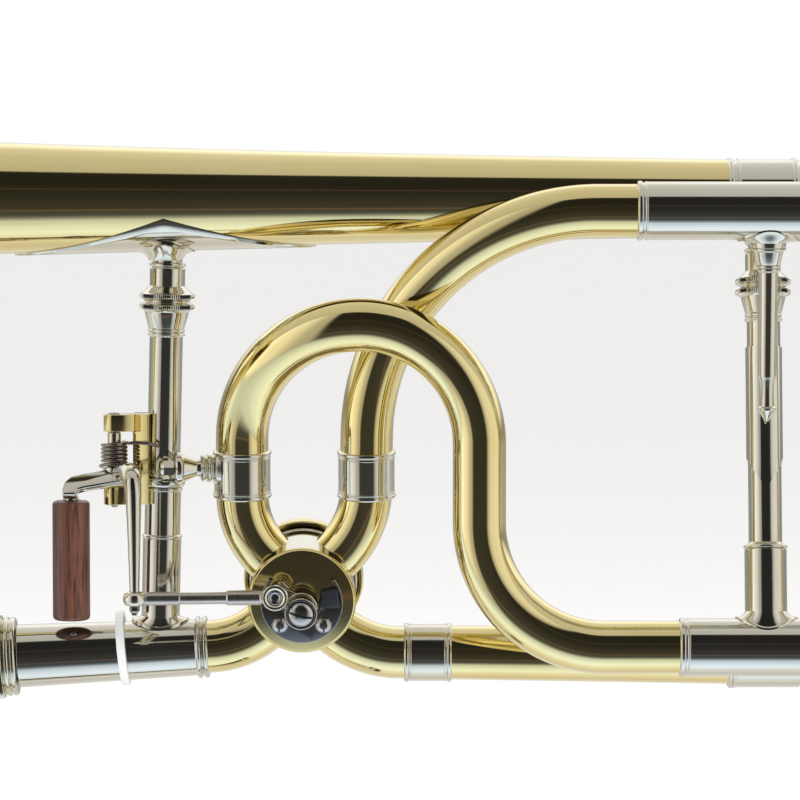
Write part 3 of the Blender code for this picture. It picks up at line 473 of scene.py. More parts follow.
def foot(name, material, rides_with, centre, host_axis, post_axis, host_r, neck_r, along, across, rise):
    """A flared foot that runs from a post's neck down onto a round tube. centre is the point of the
    tube's axis under the post, along and across are how far the foot reaches over the tube."""
    sideways = host_axis.cross(post_axis).normalized()
    steps, sides = 14, 72
    rings = []
    for step in range(steps + 1):
        share = step / steps
        ring = []
        for k in range(sides):
            angle = 2.0 * math.pi * k / sides
            edge = 1.0 / math.sqrt((math.cos(angle) / along) ** 2 + (math.sin(angle) / across) ** 2)
            out = neck_r + (edge - neck_r) * share ** 1.3
            x, y = out * math.cos(angle), out * math.sin(angle)
            surface = math.sqrt(max(0.0, host_r ** 2 - y ** 2))
            hug = smooth(share * 1.15)
            height = surface * hug + host_r * (1.0 - hug) + rise * (1.0 - share) ** 2.4 + 0.45
            ring.append(centre + host_axis * x + sideways * y + post_axis * height)
        rings.append(ring)
    sunk = [spot - post_axis * 0.9 for spot in rings[-1]]
    mesh = from_rings(name, rings + [sunk], 1, False)
    return finish_piece(name, mesh, material, (), rides_with)


def arc(centre_x, centre_z, radius, start, end, steps):
    """(x, z) points along an arc, its angles in degrees from +X towards +Z."""
    angles = [math.radians(start + (end - start) * i / steps) for i in range(steps + 1)]
    return [(centre_x + radius * math.cos(a), centre_z + radius * math.sin(a)) for a in angles]


def straight(start, end, steps):
    return [start.lerp(end, i / steps) for i in range(steps + 1)]


def curve_through(points, steps=10):
    """A smooth path through a few points, by Catmull-Rom."""
    ends = [points[0] * 2.0 - points[1]] + points + [points[-1] * 2.0 - points[-2]]
    path = []
    for a, b, c, d in zip(ends, ends[1:], ends[2:], ends[3:]):
        for i in range(steps):
            t = i / steps
            path.append(0.5 * (2.0 * b + (c - a) * t + (2.0 * a - 5.0 * b + 4.0 * c - d) * t * t
                               + (3.0 * b - a - 3.0 * c + d) * t * t * t))
    return path + [points[-1]]


def on_slide(along, across=0.0, depth=0.0):
    """A point of the handslide: along it from the origin, across towards the player's side tube."""
    return FORWARD * along + ACROSS * across + Vector((0.0, depth, 0.0))


def bell_radius(x):
    return BELL_RIM_R * (FLARE_LENGTH / (x - BELL_RIM_X + FLARE_LENGTH)) ** FLARE_POWER


# ---------------------------------------------------------------- bell

def make_bell():
    length = BELL_TAIL_X - BELL_RIM_X
    stations = [3.0 + (length - 3.0) * (i / 90.0) ** 2.2 for i in range(91)]
    outer = [(bell_radius(BELL_RIM_X + s), s) for s in reversed(stations)]
    wire = [(BELL_RIM_R - 0.5 + 1.6 * math.cos(a), 0.2 + 1.6 * math.sin(a))
            for a in (math.radians(60.0 - 25.0 * i) for i in range(11))]
    inner = [(bell_radius(BELL_RIM_X + s) - BELL_WALL, s + 0.3) for s in stations[:-1]]
    inner.append((outer[0][0] - BELL_WALL, length))
    turned("spun_bell", SPUN_BRASS, ("bell",), outer + wire + inner, Vector((BELL_RIM_X, 0.0, BELL_Z)),
           REARWARD, sides=160, bore=outer[0][0] - BELL_WALL, cut=0.1)


def make_bell_flange():
    """A diamond of nickel silver wrapped round the bell's underside, where the brace is soldered."""
    half_length, half_width, thick = 44.0, 15.0, 0.8
    steps, across = 60, 24
    top, under = [], []
    for i in range(steps + 1):
        x = -half_length + 2.0 * half_length * i / steps
        share = abs(x) / half_length
        width = half_width * (1.0 - share) ** 0.94 + 0.25
        radius = bell_radius(x)
        row_top, row_under = [], []
        for j in range(across + 1):
            v = -1.0 + 2.0 * j / across
            angle = v * width * 1.13 / radius
            edge = smooth((1.0 - abs(v)) * width / 0.5)
            for row, lift in ((row_top, 0.25 + (thick - 0.25) * edge), (row_under, -0.1)):
                row.append(Vector((x, (radius + lift) * math.sin(angle),
                                   BELL_Z - (radius + lift) * math.cos(angle))))
        top.append(row_top)
        under.append(row_under)
    rings = [upper + lower[::-1] for upper, lower in zip(top, under)]
    mesh = from_rings("bell_flange_diamond", rings, 2, False)
    finish_piece("bell_flange_diamond", mesh, TURNED_NICKEL, ("bell_flange",))


def make_tuning_sleeves():
    outer = [(9.9, 262.0), (10.5, 262.0), *bead(10.5, 260.4, 1.3, 0.5), (10.5, 187.0),
             *bead(10.5, 186.2, 1.2, 0.55), (10.6, 185.2), *bead(11.3, 183.2, 1.4, 0.5), (11.25, 182.2),
             (11.25, 167.6), *bead(11.2, 166.8, 0.9, 0.35), (11.1, 166.0), *bead(11.2, 164.6, 1.6, 0.6),
             (11.0, 163.5)]
    turned("bell_tail_ferrule_and_sleeve", DRAWN_NICKEL, ("bell_tail_sleeve",), outer,
           Vector((0.0, 0.0, BELL_Z)), REARWARD, bore=9.7)
    lower = [(8.7, 262.0), (9.1, 262.0), *bead(9.1, 260.4, 1.3, 0.45), (9.1, 187.4),
             *bead(9.1, 186.6, 1.1, 0.5), (9.2, 185.6), (9.5, 185.2), (9.5, 167.0),
             *bead(9.4, 166.2, 0.9, 0.4), *bead(9.4, 165.2, 0.9, 0.45), (9.2, 164.5)]
    turned("gooseneck_ferrule_and_sleeve", DRAWN_NICKEL, ("gooseneck_sleeve",), lower,
           Vector((0.0, 0.0, GOOSENECK_Z)), REARWARD, bore=8.45)


# ---------------------------------------------------------------- braces

UNION = [(4.3, 3.0), (4.3, -0.6), *bead(4.6, -1.3, 1.3, 0.75), (4.75, -2.1), (5.15, -2.5), (5.15, -7.6),
         (5.7, -8.0), (6.9, -9.3), (7.5, -9.7), (8.0, -9.9), (8.1, -10.5), (8.0, -11.1), (7.0, -11.4),
         (6.5, -12.0), (7.0, -12.7), (8.0, -13.0), (8.1, -13.6), (8.0, -14.2), (6.9, -14.5), (6.4, -15.1),
         (6.35, -15.7), (5.35, -19.4), (5.2, -19.9), *bead(5.0, -20.5, 0.9, 0.4),
         *bead(5.0, -21.7, 0.9, 0.5), (4.87, -22.4)]
UNION_KNURLS = ((-11.15, -9.85, 0.32), (-14.25, -12.95, 0.32))


def make_bell_brace():
    top = 114.2
    stand, lean = Vector((-2.1, 0.0, 0.0)), Vector((BRACE_LEAN, 0.0, 1.0)).normalized()
    turned("brace_union_collar", TURNED_NICKEL, ("brace_union",),
           [(r, top + h) for r, h in UNION] + [(0.0, top - 22.4)], stand, lean, count=76,
           knurls=[(top + a, top + b, d) for a, b, d in UNION_KNURLS], cut=0.18)
    foot("brace_union_foot", TURNED_NICKEL, "brace_union", Vector((0.0, 0.0, BELL_Z)), REARWARD, -UP,
         bell_radius(0.0) + 0.55, 4.9, 8.6, 9.6, 2.4)
    tube_profile = [(4.85, 92.0), (4.85, 52.2), *bead(5.0, 51.4, 1.0, 0.5), (5.1, 50.8),
                    *bead(5.3, 49.2, 2.8, 1.1), *bead(5.2, 47.2, 1.1, 0.55), (5.25, 46.5), (5.25, 33.6)]
    turned("brace_tube_with_collar", DRAWN_NICKEL, ("brace_tube",), tube_profile, stand, lean, bore=4.0)
    sleeve = [(5.3, 33.9), *bead(5.4, 33.3, 1.0, 0.5), (5.6, 32.6), (5.6, 9.2)]
    turned("brace_foot_sleeve", DRAWN_NICKEL, ("brace_foot",), capped(sleeve), stand, lean)
    foot("brace_foot_flare", TURNED_NICKEL, "brace_foot", stand + UP * 0.1, REARWARD, lean, 8.7, 5.55, 8.4,
         5.9, 0.8)


def make_receiver():
    profile = [(8.5, 12.2), *bead(8.6, 11.5, 1.2, 0.55), (8.3, 10.4), *bead(8.6, 9.5, 1.2, 0.55),
               (8.25, 8.6), (9.2, -42.4), (9.2, -43.6)]
    turned("slide_receiver_taper", DRAWN_NICKEL, ("slide_receiver",), profile, Vector(), BACKWARD, bore=7.3)
    tilt = Matrix.Rotation(math.radians(-2.5), 4, "Y").to_3x3()
    ring = [(10.0, 1.2), (10.75, 1.2), (11.0, 0.4), (11.0, -0.4), (10.75, -1.2), (10.0, -1.2)]
    turned("nylon_guard_ring", NYLON, ("guard_ring",), ring, on_slide(12.9) + UP * 0.9, tilt @ BACKWARD,
           bore=9.1, cut=0.4)


def make_lock_nut():
    profile = [(9.6, -43.9), (11.2, -44.0), (11.5, -44.5), (11.5, -45.2), (10.9, -45.6),
               *bead(11.2, -46.6, 1.3, 0.5), (10.9, -47.5), (12.1, -48.0), (12.2, -48.3), (12.2, -56.6),
               (12.1, -56.9), (11.4, -57.4), *bead(11.3, -58.4, 1.3, 0.5), (11.2, -59.4), (11.5, -60.0),
               (11.4, -62.0), (9.8, -63.9)]
    turned("slide_lock_nut_knurled", TURNED_NICKEL, ("slide_lock_nut",), profile, Vector(), BACKWARD,
           bore=7.8, count=96, knurls=[(-56.8, -48.1, 0.32)], cut=0.2)


# ---------------------------------------------------------------- rotary valve

def on_face(angle):
    return REARWARD * math.cos(math.radians(angle)) + VALVE_UP * math.sin(math.radians(angle))


def valve_plane(height):
    columns = Matrix((REARWARD, VALVE_UP, VALVE_FRONT)).transposed().to_4x4()
    return Matrix.Translation((VALVE + VALVE_FRONT * height) * MM) @ columns


def make_valve_body():
    casing = [(VALVE_R - 0.4, 11.5), (VALVE_R, 11.1), (VALVE_R, -7.6), (VALVE_R + 0.35, -8.0),
              (VALVE_R + 0.35, -9.1)]
    turned("valve_casing_shell", DRAWN_NICKEL, ("valve_casing",), casing, VALVE, VALVE_FRONT, bore=13.1)
    dome = [(r, 15.2 - 0.0066 * r * r) for r in (15.1, 12.5, 10.0, 7.5, 5.0, 3.4)]
    plate_profile = [(15.75, 13.0), (15.75, 12.1), (15.4, 11.7), (3.4, 11.7)]
    turned("valve_plate_polished", TURNED_BRASS, ("valve_front_plate",), dome[::-1] + plate_profile, VALVE,
           VALVE_FRONT, sides=128, bore=3.4, cut=0.2)
    cap = [(16.3, -10.1), (16.4, -9.3), (17.2, -9.25), (17.65, -9.8), (17.65, -13.0), (17.1, -13.7),
           (15.7, -13.9), (15.5, -14.9), (14.9, -15.2)]
    turned("valve_back_cap_turned", TURNED_BRASS, ("valve_back_cap",), capped(cap), VALVE, VALVE_FRONT,
           sides=160)


def make_stops():
    """The stop plate: a half moon with a thin horn up each side that holds a rubber bumper."""
    outline = arc(0.0, 0.0, 11.9, 142.0, 398.0, 48) + arc(0.0, 0.0, 11.0, 398.0, 354.0, 8)
    outline += [(5.5, -1.1)] + arc(0.0, 0.0, 5.5, 346.0, 194.0, 20) + [(-5.5, -1.1)]
    outline += arc(0.0, 0.0, 11.0, 186.0, 142.0, 8)
    plate("stop_plate_half_moon", BLUED_STEEL, ("stop_plate",), outline, 2.2, valve_plane(15.2), 0.24)
    for number, side in enumerate((-6.3, 6.3)):
        head = [(1.2, 1.5), (1.9, 1.1), (2.4, 0.45), (2.5, 0.0), (2.5, -0.8)]
        base = VALVE + VALVE_FRONT * 16.0 + Vector((side, 0.0, 0.0)) - VALVE_UP * 6.4
        screw = turned(f"stop_plate_screw_{number}", SCREW_STEEL, (), [(0.0, 1.65)] + head + [(0.0, -0.8)],
                       base, VALVE_FRONT, sides=40, rides_with="stop_plate")
        slotted(screw, 0.5, 0.7, 1.35 + 0.3 * number, 1.6)
    for name, side in (("left", -8.0), ("right", 8.0)):
        outline = [(-3.0, -2.7), (3.2, -2.7), (2.3, 3.0), (-2.2, 2.1)]
        outline = [(x if side > 0 else -x, y) for x, y in outline]
        spot = valve_plane(15.9) @ Matrix.Translation(Vector((side, 1.6, 0.0)) * MM)
        plate(f"rubber_bumper_{name}", RUBBER, (f"stop_bumper_{name}",), outline, 3.4, spot, 0.6)


def make_rotor():
    core = [(2.9, 21.0), (2.9, 11.0), (12.7, 10.8), (12.7, -8.4)]
    turned("rotor_core", TURNED_BRASS, ("rotor",), capped(core), VALVE, VALVE_FRONT)
    hub = [(4.5, 21.2), (4.7, 20.9), (4.7, 15.2), (4.3, 15.0)]
    turned("stop_arm_hub", TURNED_NICKEL, ("stop_arm",), hub, VALVE, VALVE_FRONT, bore=3.1)
    crank = arc(0.0, 0.0, 3.6, 60.0, 300.0, 16) + arc(CRANK_REACH, 0.0, 2.4, -80.0, 80.0, 12)
    turn = Matrix.Rotation(math.radians(CRANK_ANGLE), 4, "Z")
    plate("stop_arm_crank", TURNED_NICKEL, (), crank, 2.2, valve_plane(18.6) @ turn, 0.4, "stop_arm")
    lug = [(3.2, -1.1), (9.0, -1.1), (9.4, 0.0), (9.0, 1.1), (3.2, 1.1)]
    turn = Matrix.Rotation(math.radians(LUG_ANGLE), 4, "Z")
    plate("stop_arm_lug", TURNED_NICKEL, (), lug, 2.2, valve_plane(16.2) @ turn, 0.3, "stop_arm")
    seat = VALVE + on_face(CRANK_ANGLE) * CRANK_REACH
    post = [(1.0, 22.4), (1.4, 22.1), (1.5, 21.6), (1.5, 19.4), (2.0, 19.2), (2.0, 17.4)]
    turned("ball_post", TURNED_NICKEL, (), capped(post), seat, VALVE_FRONT, sides=48, rides_with="stop_arm")
    head = [(0.0, 28.75), (1.6, 28.6), (2.8, 28.15), (3.5, 27.5), (3.7, 26.8), (3.7, 21.5)]
    screw = turned("rotor_screw_domed", SCREW_STEEL, ("rotor_screw",), head + [(0.0, 21.5)], VALVE,
                   VALVE_FRONT, sides=64)
    slotted(screw, 0.75, 1.1, math.radians(-14.0), 28.75)
    collar = [(4.5, 27.1), (4.75, 26.7), (4.75, 25.4), (4.3, 25.0), (4.3, 21.4)]
    turned("rotor_screw_washer", SCREW_STEEL, (), collar, VALVE, VALVE_FRONT, bore=3.9, sides=64,
           rides_with="rotor_screw", cut=0.15)


# ---------------------------------------------------------------- bent tubing

def left_depth(x, z):
    """How deep the left riser and loop run: the riser leans forward, and the loop's first
    quarter brings it to the front."""
    centre_x, centre_z, _ = LEFT_LOOP
    if x >= centre_x:
        return WRAP_FRONT_Y
    riser = -2.5 - 0.1 * (z - 30.0)
    turned_by = math.degrees(math.atan2(z - centre_z, centre_x - x)) if z > centre_z else 0.0
    return riser + (WRAP_FRONT_Y - riser) * smooth(turned_by / 90.0)


def right_depth(x, z):
    """How deep the right riser and loop run: they come forward only after the loop's first third."""
    riser = -2.0 - 0.115 * (z - 30.0)
    centre_x, centre_z, _ = RIGHT_BEND
    turned_by = math.degrees(math.atan2(z - centre_z, centre_x - x)) if z > centre_z else 0.0
    return riser + (F_PLANE_Y - riser) * smooth((turned_by - 28.0) / 67.0)


def leaning(points, depth_of):
    """A path from (x, z) points, each as deep in Y as depth_of says."""
    return [Vector((x, depth_of(x, z), z)) for x, z in points]


def flat_path(points, depth=0.0):
    return [Vector((x, depth, z)) for x, z in points]


def ring_ferrule(radius, length):
    """A short ferrule's outer side, with a pair of beads at each end."""
    return [(radius - 0.15, length), *bead(radius, length - 0.7, 1.2, 0.35), (radius - 0.05, length - 1.5),
            *bead(radius, length - 1.9, 0.5, 0.16), (radius, length - 2.3), (radius, 2.3),
            *bead(radius, 1.9, 0.5, 0.16), (radius - 0.05, 1.5), *bead(radius, 0.7, 1.2, 0.35),
            (radius - 0.15, 0.0)]


def make_valve_tubes():
    centre = on_slide(-12.9) - ACROSS * 26.5
    first_angle = math.degrees(SLIDE_TILT) - 90.0
    entry = flat_path([(on_slide(-8.0).x, on_slide(-8.0).z), (on_slide(-11.0).x, on_slide(-11.0).z)]
                      + arc(centre.x, centre.z, 26.5, first_angle, -44.0, 24))
    swept("valve_entry_bend", DRAWN_BRASS, ("valve_entry_tube",), entry, F_TUBE_R, F_WALL)
    leave = flat_path(arc(68.5, 28.8, 29.9, -133.0, -90.0, 24) + [(70.0, -1.1), (71.5, -1.1)])
    swept("valve_exit_bend", DRAWN_BRASS, ("valve_exit_tube",), leave, F_TUBE_R, F_WALL)
    turned("gooseneck_ring_ferrule", TURNED_NICKEL, ("gooseneck_ferrule",),
           [(r, 69.6 + h) for r, h in ring_ferrule(8.3, 13.9)], Vector((0.0, 0.0, -1.1)), REARWARD, bore=7.0)
    run = straight(Vector((82.5, 0.0, -1.1)), Vector((165.5, 0.0, GOOSENECK_Z)), 12)
    swept("gooseneck_taper", DRAWN_BRASS, ("gooseneck_tube",), run, 7.85, 0.7, end_radius=8.5)


def make_f_risers():
    port_reach, turn_angle = 13.3, math.radians(46.0)
    for side, x, way, depth_of in (("left", F_LEFT_X, 1.0, left_depth),
                                   ("right", F_RIGHT_X, -1.0, right_depth)):
        # The bend ends square to the valve, port_reach from its axis
        bend_r = (way * (VALVE.x - x) - port_reach * math.sin(turn_angle)) / (1.0 - math.cos(turn_angle))
        bend_z = VALVE.z + port_reach * math.cos(turn_angle) + bend_r * math.sin(turn_angle)
        turn = [(x + way * (bend_r - bend_r * math.cos(a)), bend_z - bend_r * math.sin(a))
                for a in (turn_angle * i / 20.0 for i in range(21))]
        points = turn[::-1] + [(x, max(bend_z, FERRULE_Z - FERRULE_HALF) + 2.0)]
        swept(f"f_{side}_port_knuckle", DRAWN_BRASS, (f"f_{side}_port_bend",), leaning(points, depth_of),
              F_TUBE_R, F_WALL)
        bottom = Vector((x, depth_of(x, FERRULE_Z - FERRULE_HALF), FERRULE_Z - FERRULE_HALF))
        top = Vector((x, depth_of(x, FERRULE_Z + FERRULE_HALF), FERRULE_Z + FERRULE_HALF))
        turned(f"f_{side}_ring_ferrule", TURNED_NICKEL, (f"f_{side}_ferrule",),
               ring_ferrule(8.2, (top - bottom).length), bottom, (top - bottom).normalized(), bore=7.0)


def make_f_wrap():
    start = (F_LEFT_X, FERRULE_Z + FERRULE_HALF - 1.5)
    path = leaning([start] + arc(*LEFT_LOOP, 180.0, 0.0, 72), left_depth)
    down = arc(*LOWER_BEND, 180.0, 270.0, 40)
    setback = F_PLANE_Y - WRAP_FRONT_Y
    path += [Vector((x, WRAP_FRONT_Y + setback * smooth(i / 40.0), z)) for i, (x, z) in enumerate(down)]
    path += [Vector((138.0, F_PLANE_Y, F_LOWER_Z)), Vector((150.5, F_PLANE_Y, F_LOWER_Z))]
    swept("f_left_loop_bend", DRAWN_BRASS, ("f_left_loop",), path, F_TUBE_R, F_WALL, sides=80)
    start = (F_RIGHT_X, FERRULE_Z + FERRULE_HALF - 1.5)
    path = leaning([start] + arc(*RIGHT_BEND, 180.0, 90.0, 56), right_depth)
    path += [Vector((130.0, F_PLANE_Y, F_UPPER_Z)), Vector((138.0, F_PLANE_Y, F_UPPER_Z))]
    swept("f_right_loop_bend", DRAWN_BRASS, ("f_right_loop",), path, F_TUBE_R, F_WALL, sides=80)
    for side, start_x, z in (("upper", 136.2, F_UPPER_Z), ("lower", 148.8, F_LOWER_Z)):
        profile = [(7.9, 240.0), (8.35, 240.0), *bead(8.35, 238.6, 1.2, 0.45), (8.35, start_x + 3.0),
                   *bead(8.3, start_x + 2.6, 0.5, 0.2), (8.15, start_x + 2.1), (8.2, start_x + 1.7),
                   *bead(8.3, start_x + 0.9, 1.4, 0.3), (7.9, start_x)]
        turned(f"f_{side}_tuning_sleeve", DRAWN_NICKEL, (f"f_{side}_sleeve",), profile,
               Vector((0.0, F_PLANE_Y, z)), REARWARD, bore=7.7)


# ---------------------------------------------------------------- struts

def make_wrap_strut():
    knob = Vector((-1.5, -9.3, 53.8))
    target = Vector((F_LEFT_X, left_depth(F_LEFT_X, knob.z), knob.z))
    reach = (target - knob).normalized()
    span = (target - knob).length - 8.0
    facets = [(2.2, 4.35), (3.0, 3.9), (3.05, 0.9), (2.3, 0.0)]
    turned("strut_knob_faceted", TURNED_NICKEL, (), capped(facets), knob, reach, sides=8, cut=0.12,
           rides_with="wrap_strut")
    stem = [(5.2, span + 1.2), (4.6, span - 0.2), (3.5, span - 0.9), *bead(3.6, span - 1.9, 1.2, 0.6),
            (3.3, span - 2.8), *bead(3.4, span - 3.6, 1.0, 0.5), (2.6, span - 4.4), (2.4, span - 5.6),
            (4.2, 6.6), (4.6, 6.2), (4.7, 5.6), (4.7, 4.7), (4.3, 4.2), (3.1, 4.1), (2.4, 3.8)]
    turned("strut_stem_turned", TURNED_NICKEL, ("wrap_strut",), capped(stem), knob, reach, sides=64,
           cut=0.15)


def make_rear_brace():
    top = Vector((REAR_BRACE_X, 0.0, BELL_Z))
    bottom = Vector((REAR_BRACE_X, F_PLANE_Y, F_LOWER_Z))
    length = (bottom - top).length
    axis = (top - bottom).normalized()
    start = -14.2
    profile = [(r, start + h) for r, h in UNION]
    profile += [(4.85, start - 23.4), (4.85, -length + 30.2), (5.2, -length + 29.9),
                *bead(5.7, -length + 29.0, 1.2, 0.7), (6.1, -length + 28.2), (6.1, -length + 9.0)]
    turned("rear_brace_post", TURNED_NICKEL, ("rear_brace",), capped(profile), top, axis, count=76,
           knurls=[(start + a, start + b, d) for a, b, d in UNION_KNURLS], cut=0.18)
    foot("rear_brace_upper_foot", TURNED_NICKEL, "rear_brace", top, REARWARD, -axis, 11.3, 4.9, 8.6, 7.6,
         2.0)
    foot("rear_brace_lower_foot", TURNED_NICKEL, "rear_brace", bottom, REARWARD, axis, 8.4, 6.0, 9.0, 7.0,
         1.8)
    toward = (-Vector((0.0, 1.0, 0.0)) + axis * axis.y).normalized()
    sideways = axis.cross(toward)
    rings = []
    columns = 96
    for radius, inside in ((5.32, False), (4.86, True)):
        for k in range(9):
            share = k / 8.0 if not inside else 1.0 - k / 8.0
            ring = []
            for j in range(columns):
                angle = 2.0 * math.pi * j / columns
                swing = abs((angle + math.pi / 2.0) % math.pi - math.pi / 2.0)
                tip = 8.6 * max(0.0, 1.0 - swing / math.radians(72.0))
                t = -44.0 - share * (32.5 + tip)
                ring.append(top + axis * t
                            + (toward * math.cos(angle) + sideways * math.sin(angle)) * radius)
            rings.append(ring)
    mesh = from_rings("rear_brace_cuff_pointed", rings, 0, True)
    finish_piece("rear_brace_cuff_pointed", mesh, DRAWN_NICKEL, (), "rear_brace")
    head = Vector((REAR_BRACE_X, F_PLANE_Y, F_UPPER_Z))
    tip = Vector((REAR_BRACE_X, -20.2, 68.0))
    reach = (tip - head).length
    strut = [(5.0, -8.6), (5.1, -9.2), (5.0, -10.4), *bead(4.7, -11.0, 0.8, 0.4), (4.3, -11.6), (3.7, -14.6),
             (3.4, -15.4), *bead(3.2, -16.0, 0.8, 0.35), *bead(3.0, -17.0, 0.8, 0.35), (2.85, -17.6),
             (2.65, -reach + 13.6), (2.1, -reach + 11.8), (1.95, -reach + 8.0), (2.1, -reach + 4.9),
             (2.8, -reach + 4.5), (2.75, -reach + 3.9), (0.5, -reach + 0.4), (0.0, -reach + 0.2)]
    turned("rear_strut_turned", TURNED_NICKEL, ("rear_strut",), [(0.0, -8.6)] + strut, head,
           (head - tip).normalized(), sides=64, cut=0.15)
    foot("rear_strut_foot", TURNED_NICKEL, "rear_strut", head, REARWARD, -UP, 8.4, 4.9, 9.0, 6.4, 0.4)


# ---------------------------------------------------------------- thumb trigger

def make_trigger_hinge():
    block = [(-9.6, -3.7), (-4.9, -6.2), (-4.5, -5.4), (-4.5, 3.0), (-9.6, 3.0)]
    stand = Matrix.Translation(Vector((0.0, 0.0, 56.2)) * MM)
    plate("trigger_hinge_plate", TURNED_BRASS, ("hinge_block",), block, 26.4, stand, 0.3)
    web = [(HINGE.x + 3.1 * math.cos(a), HINGE.y + 3.1 * math.sin(a))
           for a in (math.radians(85.0 + 190.0 * i / 24.0) for i in range(25))]
    web += [(-8.9, -6.1), (-8.9, -2.1)]
    for name, bottom, top in (("lower", 43.0, 48.5), ("upper", 64.4, 69.4)):
        stand = Matrix.Translation(Vector((0.0, 0.0, (bottom + top) / 2.0)) * MM)
        plate(f"trigger_hinge_knuckle_{name}", TURNED_BRASS, (), web, top - bottom, stand, 0.28,
              "hinge_block")
    pin = [(1.2, 69.95), (1.7, 69.8), (1.95, 69.45), (1.95, 69.0), (1.05, 68.8), (1.05, 42.6), (0.7, 42.2)]
    turned("trigger_hinge_pin", SCREW_STEEL, ("hinge_pin",), capped(pin), HINGE, UP, sides=40)


def make_trigger_spring():
    turns, per_turn, rise, radius = 5.5, 28, 1.13, 3.45
    path = [Vector((-18.7, -3.6, 53.9)), Vector((-18.9, -5.0, 54.3)), Vector((-18.3, -6.6, 54.7))]
    for i in range(int(turns * per_turn) + 1):
        angle = math.radians(225.0 + 360.0 * i / per_turn)
        x, y = radius * math.cos(angle), radius * math.sin(angle)
        path.append(HINGE + Vector((x, y, 54.9 + rise * i / per_turn)))
    path += curve_through([Vector((-10.4, -8.6, 61.2)), Vector((-8.5, -8.6, 61.3)),
                           Vector((-4.5, -7.8, 61.0)), Vector((-1.9, -6.4, 60.2))], 6)
    swept("trigger_return_spring", SPRING_STEEL, ("trigger_spring",), path, 0.5, sides=12)


def make_trigger():
    hub = [(1.7, 64.2), (1.95, 63.9), (1.95, 54.2), (3.2, 54.0), (3.25, 53.6), (3.25, 49.0), (2.9, 48.8)]
    turned("trigger_lever_hub", TURNED_NICKEL, ("trigger_lever",), hub, HINGE, UP, sides=64, bore=1.35)
    tilt = Matrix.Rotation(math.radians(49.0), 4, "X")
    lean = Matrix.Translation(Vector((HINGE.x, -8.6, 50.0)) * MM) @ tilt
    bar = [(-14.6, -5.4), (-14.8, -3.4), (-14.2, -0.8), (-12.6, 1.0), (-9.8, 1.9), (2.4, 4.6), (3.2, 3.4),
           (3.0, -0.2), (2.0, -0.8), (-8.4, -3.0), (-10.2, -3.6), (-10.8, -5.4)]
    plate("trigger_lever_rear_arm", DRAWN_NICKEL, (), bar, 2.6, lean, 0.5, "trigger_lever")
    front = curve_through([Vector((-12.6, -8.0, 52.8)), Vector((-11.6, -14.5, 53.4)),
                           Vector((-9.8, -21.5, 53.9)), Vector((-8.6, -26.4, 52.6)),
                           Vector((-8.0, -28.8, 48.4)), Vector((-7.8, -29.8, 41.0)),
                           Vector((-7.7, -30.2, 30.0)), Vector((-7.65, -30.5, 18.4))], 12)
    swept("trigger_lever_front_arm", DRAWN_NICKEL, (), front, 2.75, sides=48, end_radius=1.35,
          rides_with="trigger_lever", taper_from=0.42)
    nut = [(1.1, -2.0), (1.5, -2.3), (1.5, -3.5), (1.0, -3.9), (0.9, -4.6), (0.5, -4.9)]
    turned("lever_ball_nut", SCREW_STEEL, (), capped(nut), LEVER_BALL, UP, sides=6, cut=0.1,
           rides_with="trigger_lever")
    core = [(1.5, 47.6), (1.7, 46.4), (2.3, 45.0), (2.5, 44.4), (1.3, 44.25), (1.3, 9.4), (0.9, 8.9)]
    turned("trigger_barrel_core", SCREW_STEEL, (), capped(core), BARREL_AXIS, UP, sides=32,
           rides_with="trigger_lever")
    barrel = [(1.6, 44.3), (4.7, 44.2), (5.3, 43.8), (5.45, 43.2), (5.45, 10.3), (5.1, 9.6), (4.4, 9.3)]
    turned("rosewood_thumb_barrel", ROSEWOOD, ("trigger_barrel",), barrel, BARREL_AXIS, UP, bore=1.5,
           sides=80)


def make_link():
    reach = (LINK_CUP - LEVER_BALL).normalized()
    length = (LINK_CUP - LEVER_BALL).length
    eye = [(1.8, 2.1), (2.6, 1.75), (3.1, 1.1), (3.3, 0.3), (3.3, -0.3), (3.1, -1.1), (2.6, -1.75),
           (1.8, -2.1)]
    turned("link_eye", TURNED_NICKEL, ("link_rod",), eye, LEVER_BALL, UP, sides=64, bore=1.6)
    rod = [(1.6, 2.4), (1.95, 3.6), (1.95, 12.6), (1.72, 12.9), (1.72, length - 14.2), (2.1, length - 13.8),
           (2.15, length - 13.5), (2.15, length - 4.6), (1.9, length - 4.2), (1.5, length - 2.4)]
    turned("link_connecting_rod", BRUSHED_NICKEL, (), capped(rod), LEVER_BALL, reach, sides=48, cut=0.12,
           rides_with="link_rod")
    cup = [(2.35, 1.9), (2.9, 2.3), (3.5, 2.2), (3.8, 1.7), (3.8, -0.8), (3.4, -1.3), (2.9, -1.4)]
    turned("link_ball_cup", TURNED_NICKEL, (), cup, LINK_CUP, OUTWARD, sides=64, bore=2.3, cut=0.2,
           rides_with="link_rod")
    inset = [(1.15, 1.7), (1.7, 1.95), (2.05, 1.8), (2.3, 1.4), (2.3, -1.2)]
    turned("link_ball_screw", SCREW_STEEL, (), inset, LINK_CUP, OUTWARD, sides=48, bore=1.1, cut=0.12,
           rides_with="link_rod")
    turned("link_ball_screw_floor", BLUED_STEEL, (), capped([(1.15, 0.9), (1.15, -1.2)]), LINK_CUP, OUTWARD,
           sides=6, rides_with="link_rod")


# ---------------------------------------------------------------- tuning slides

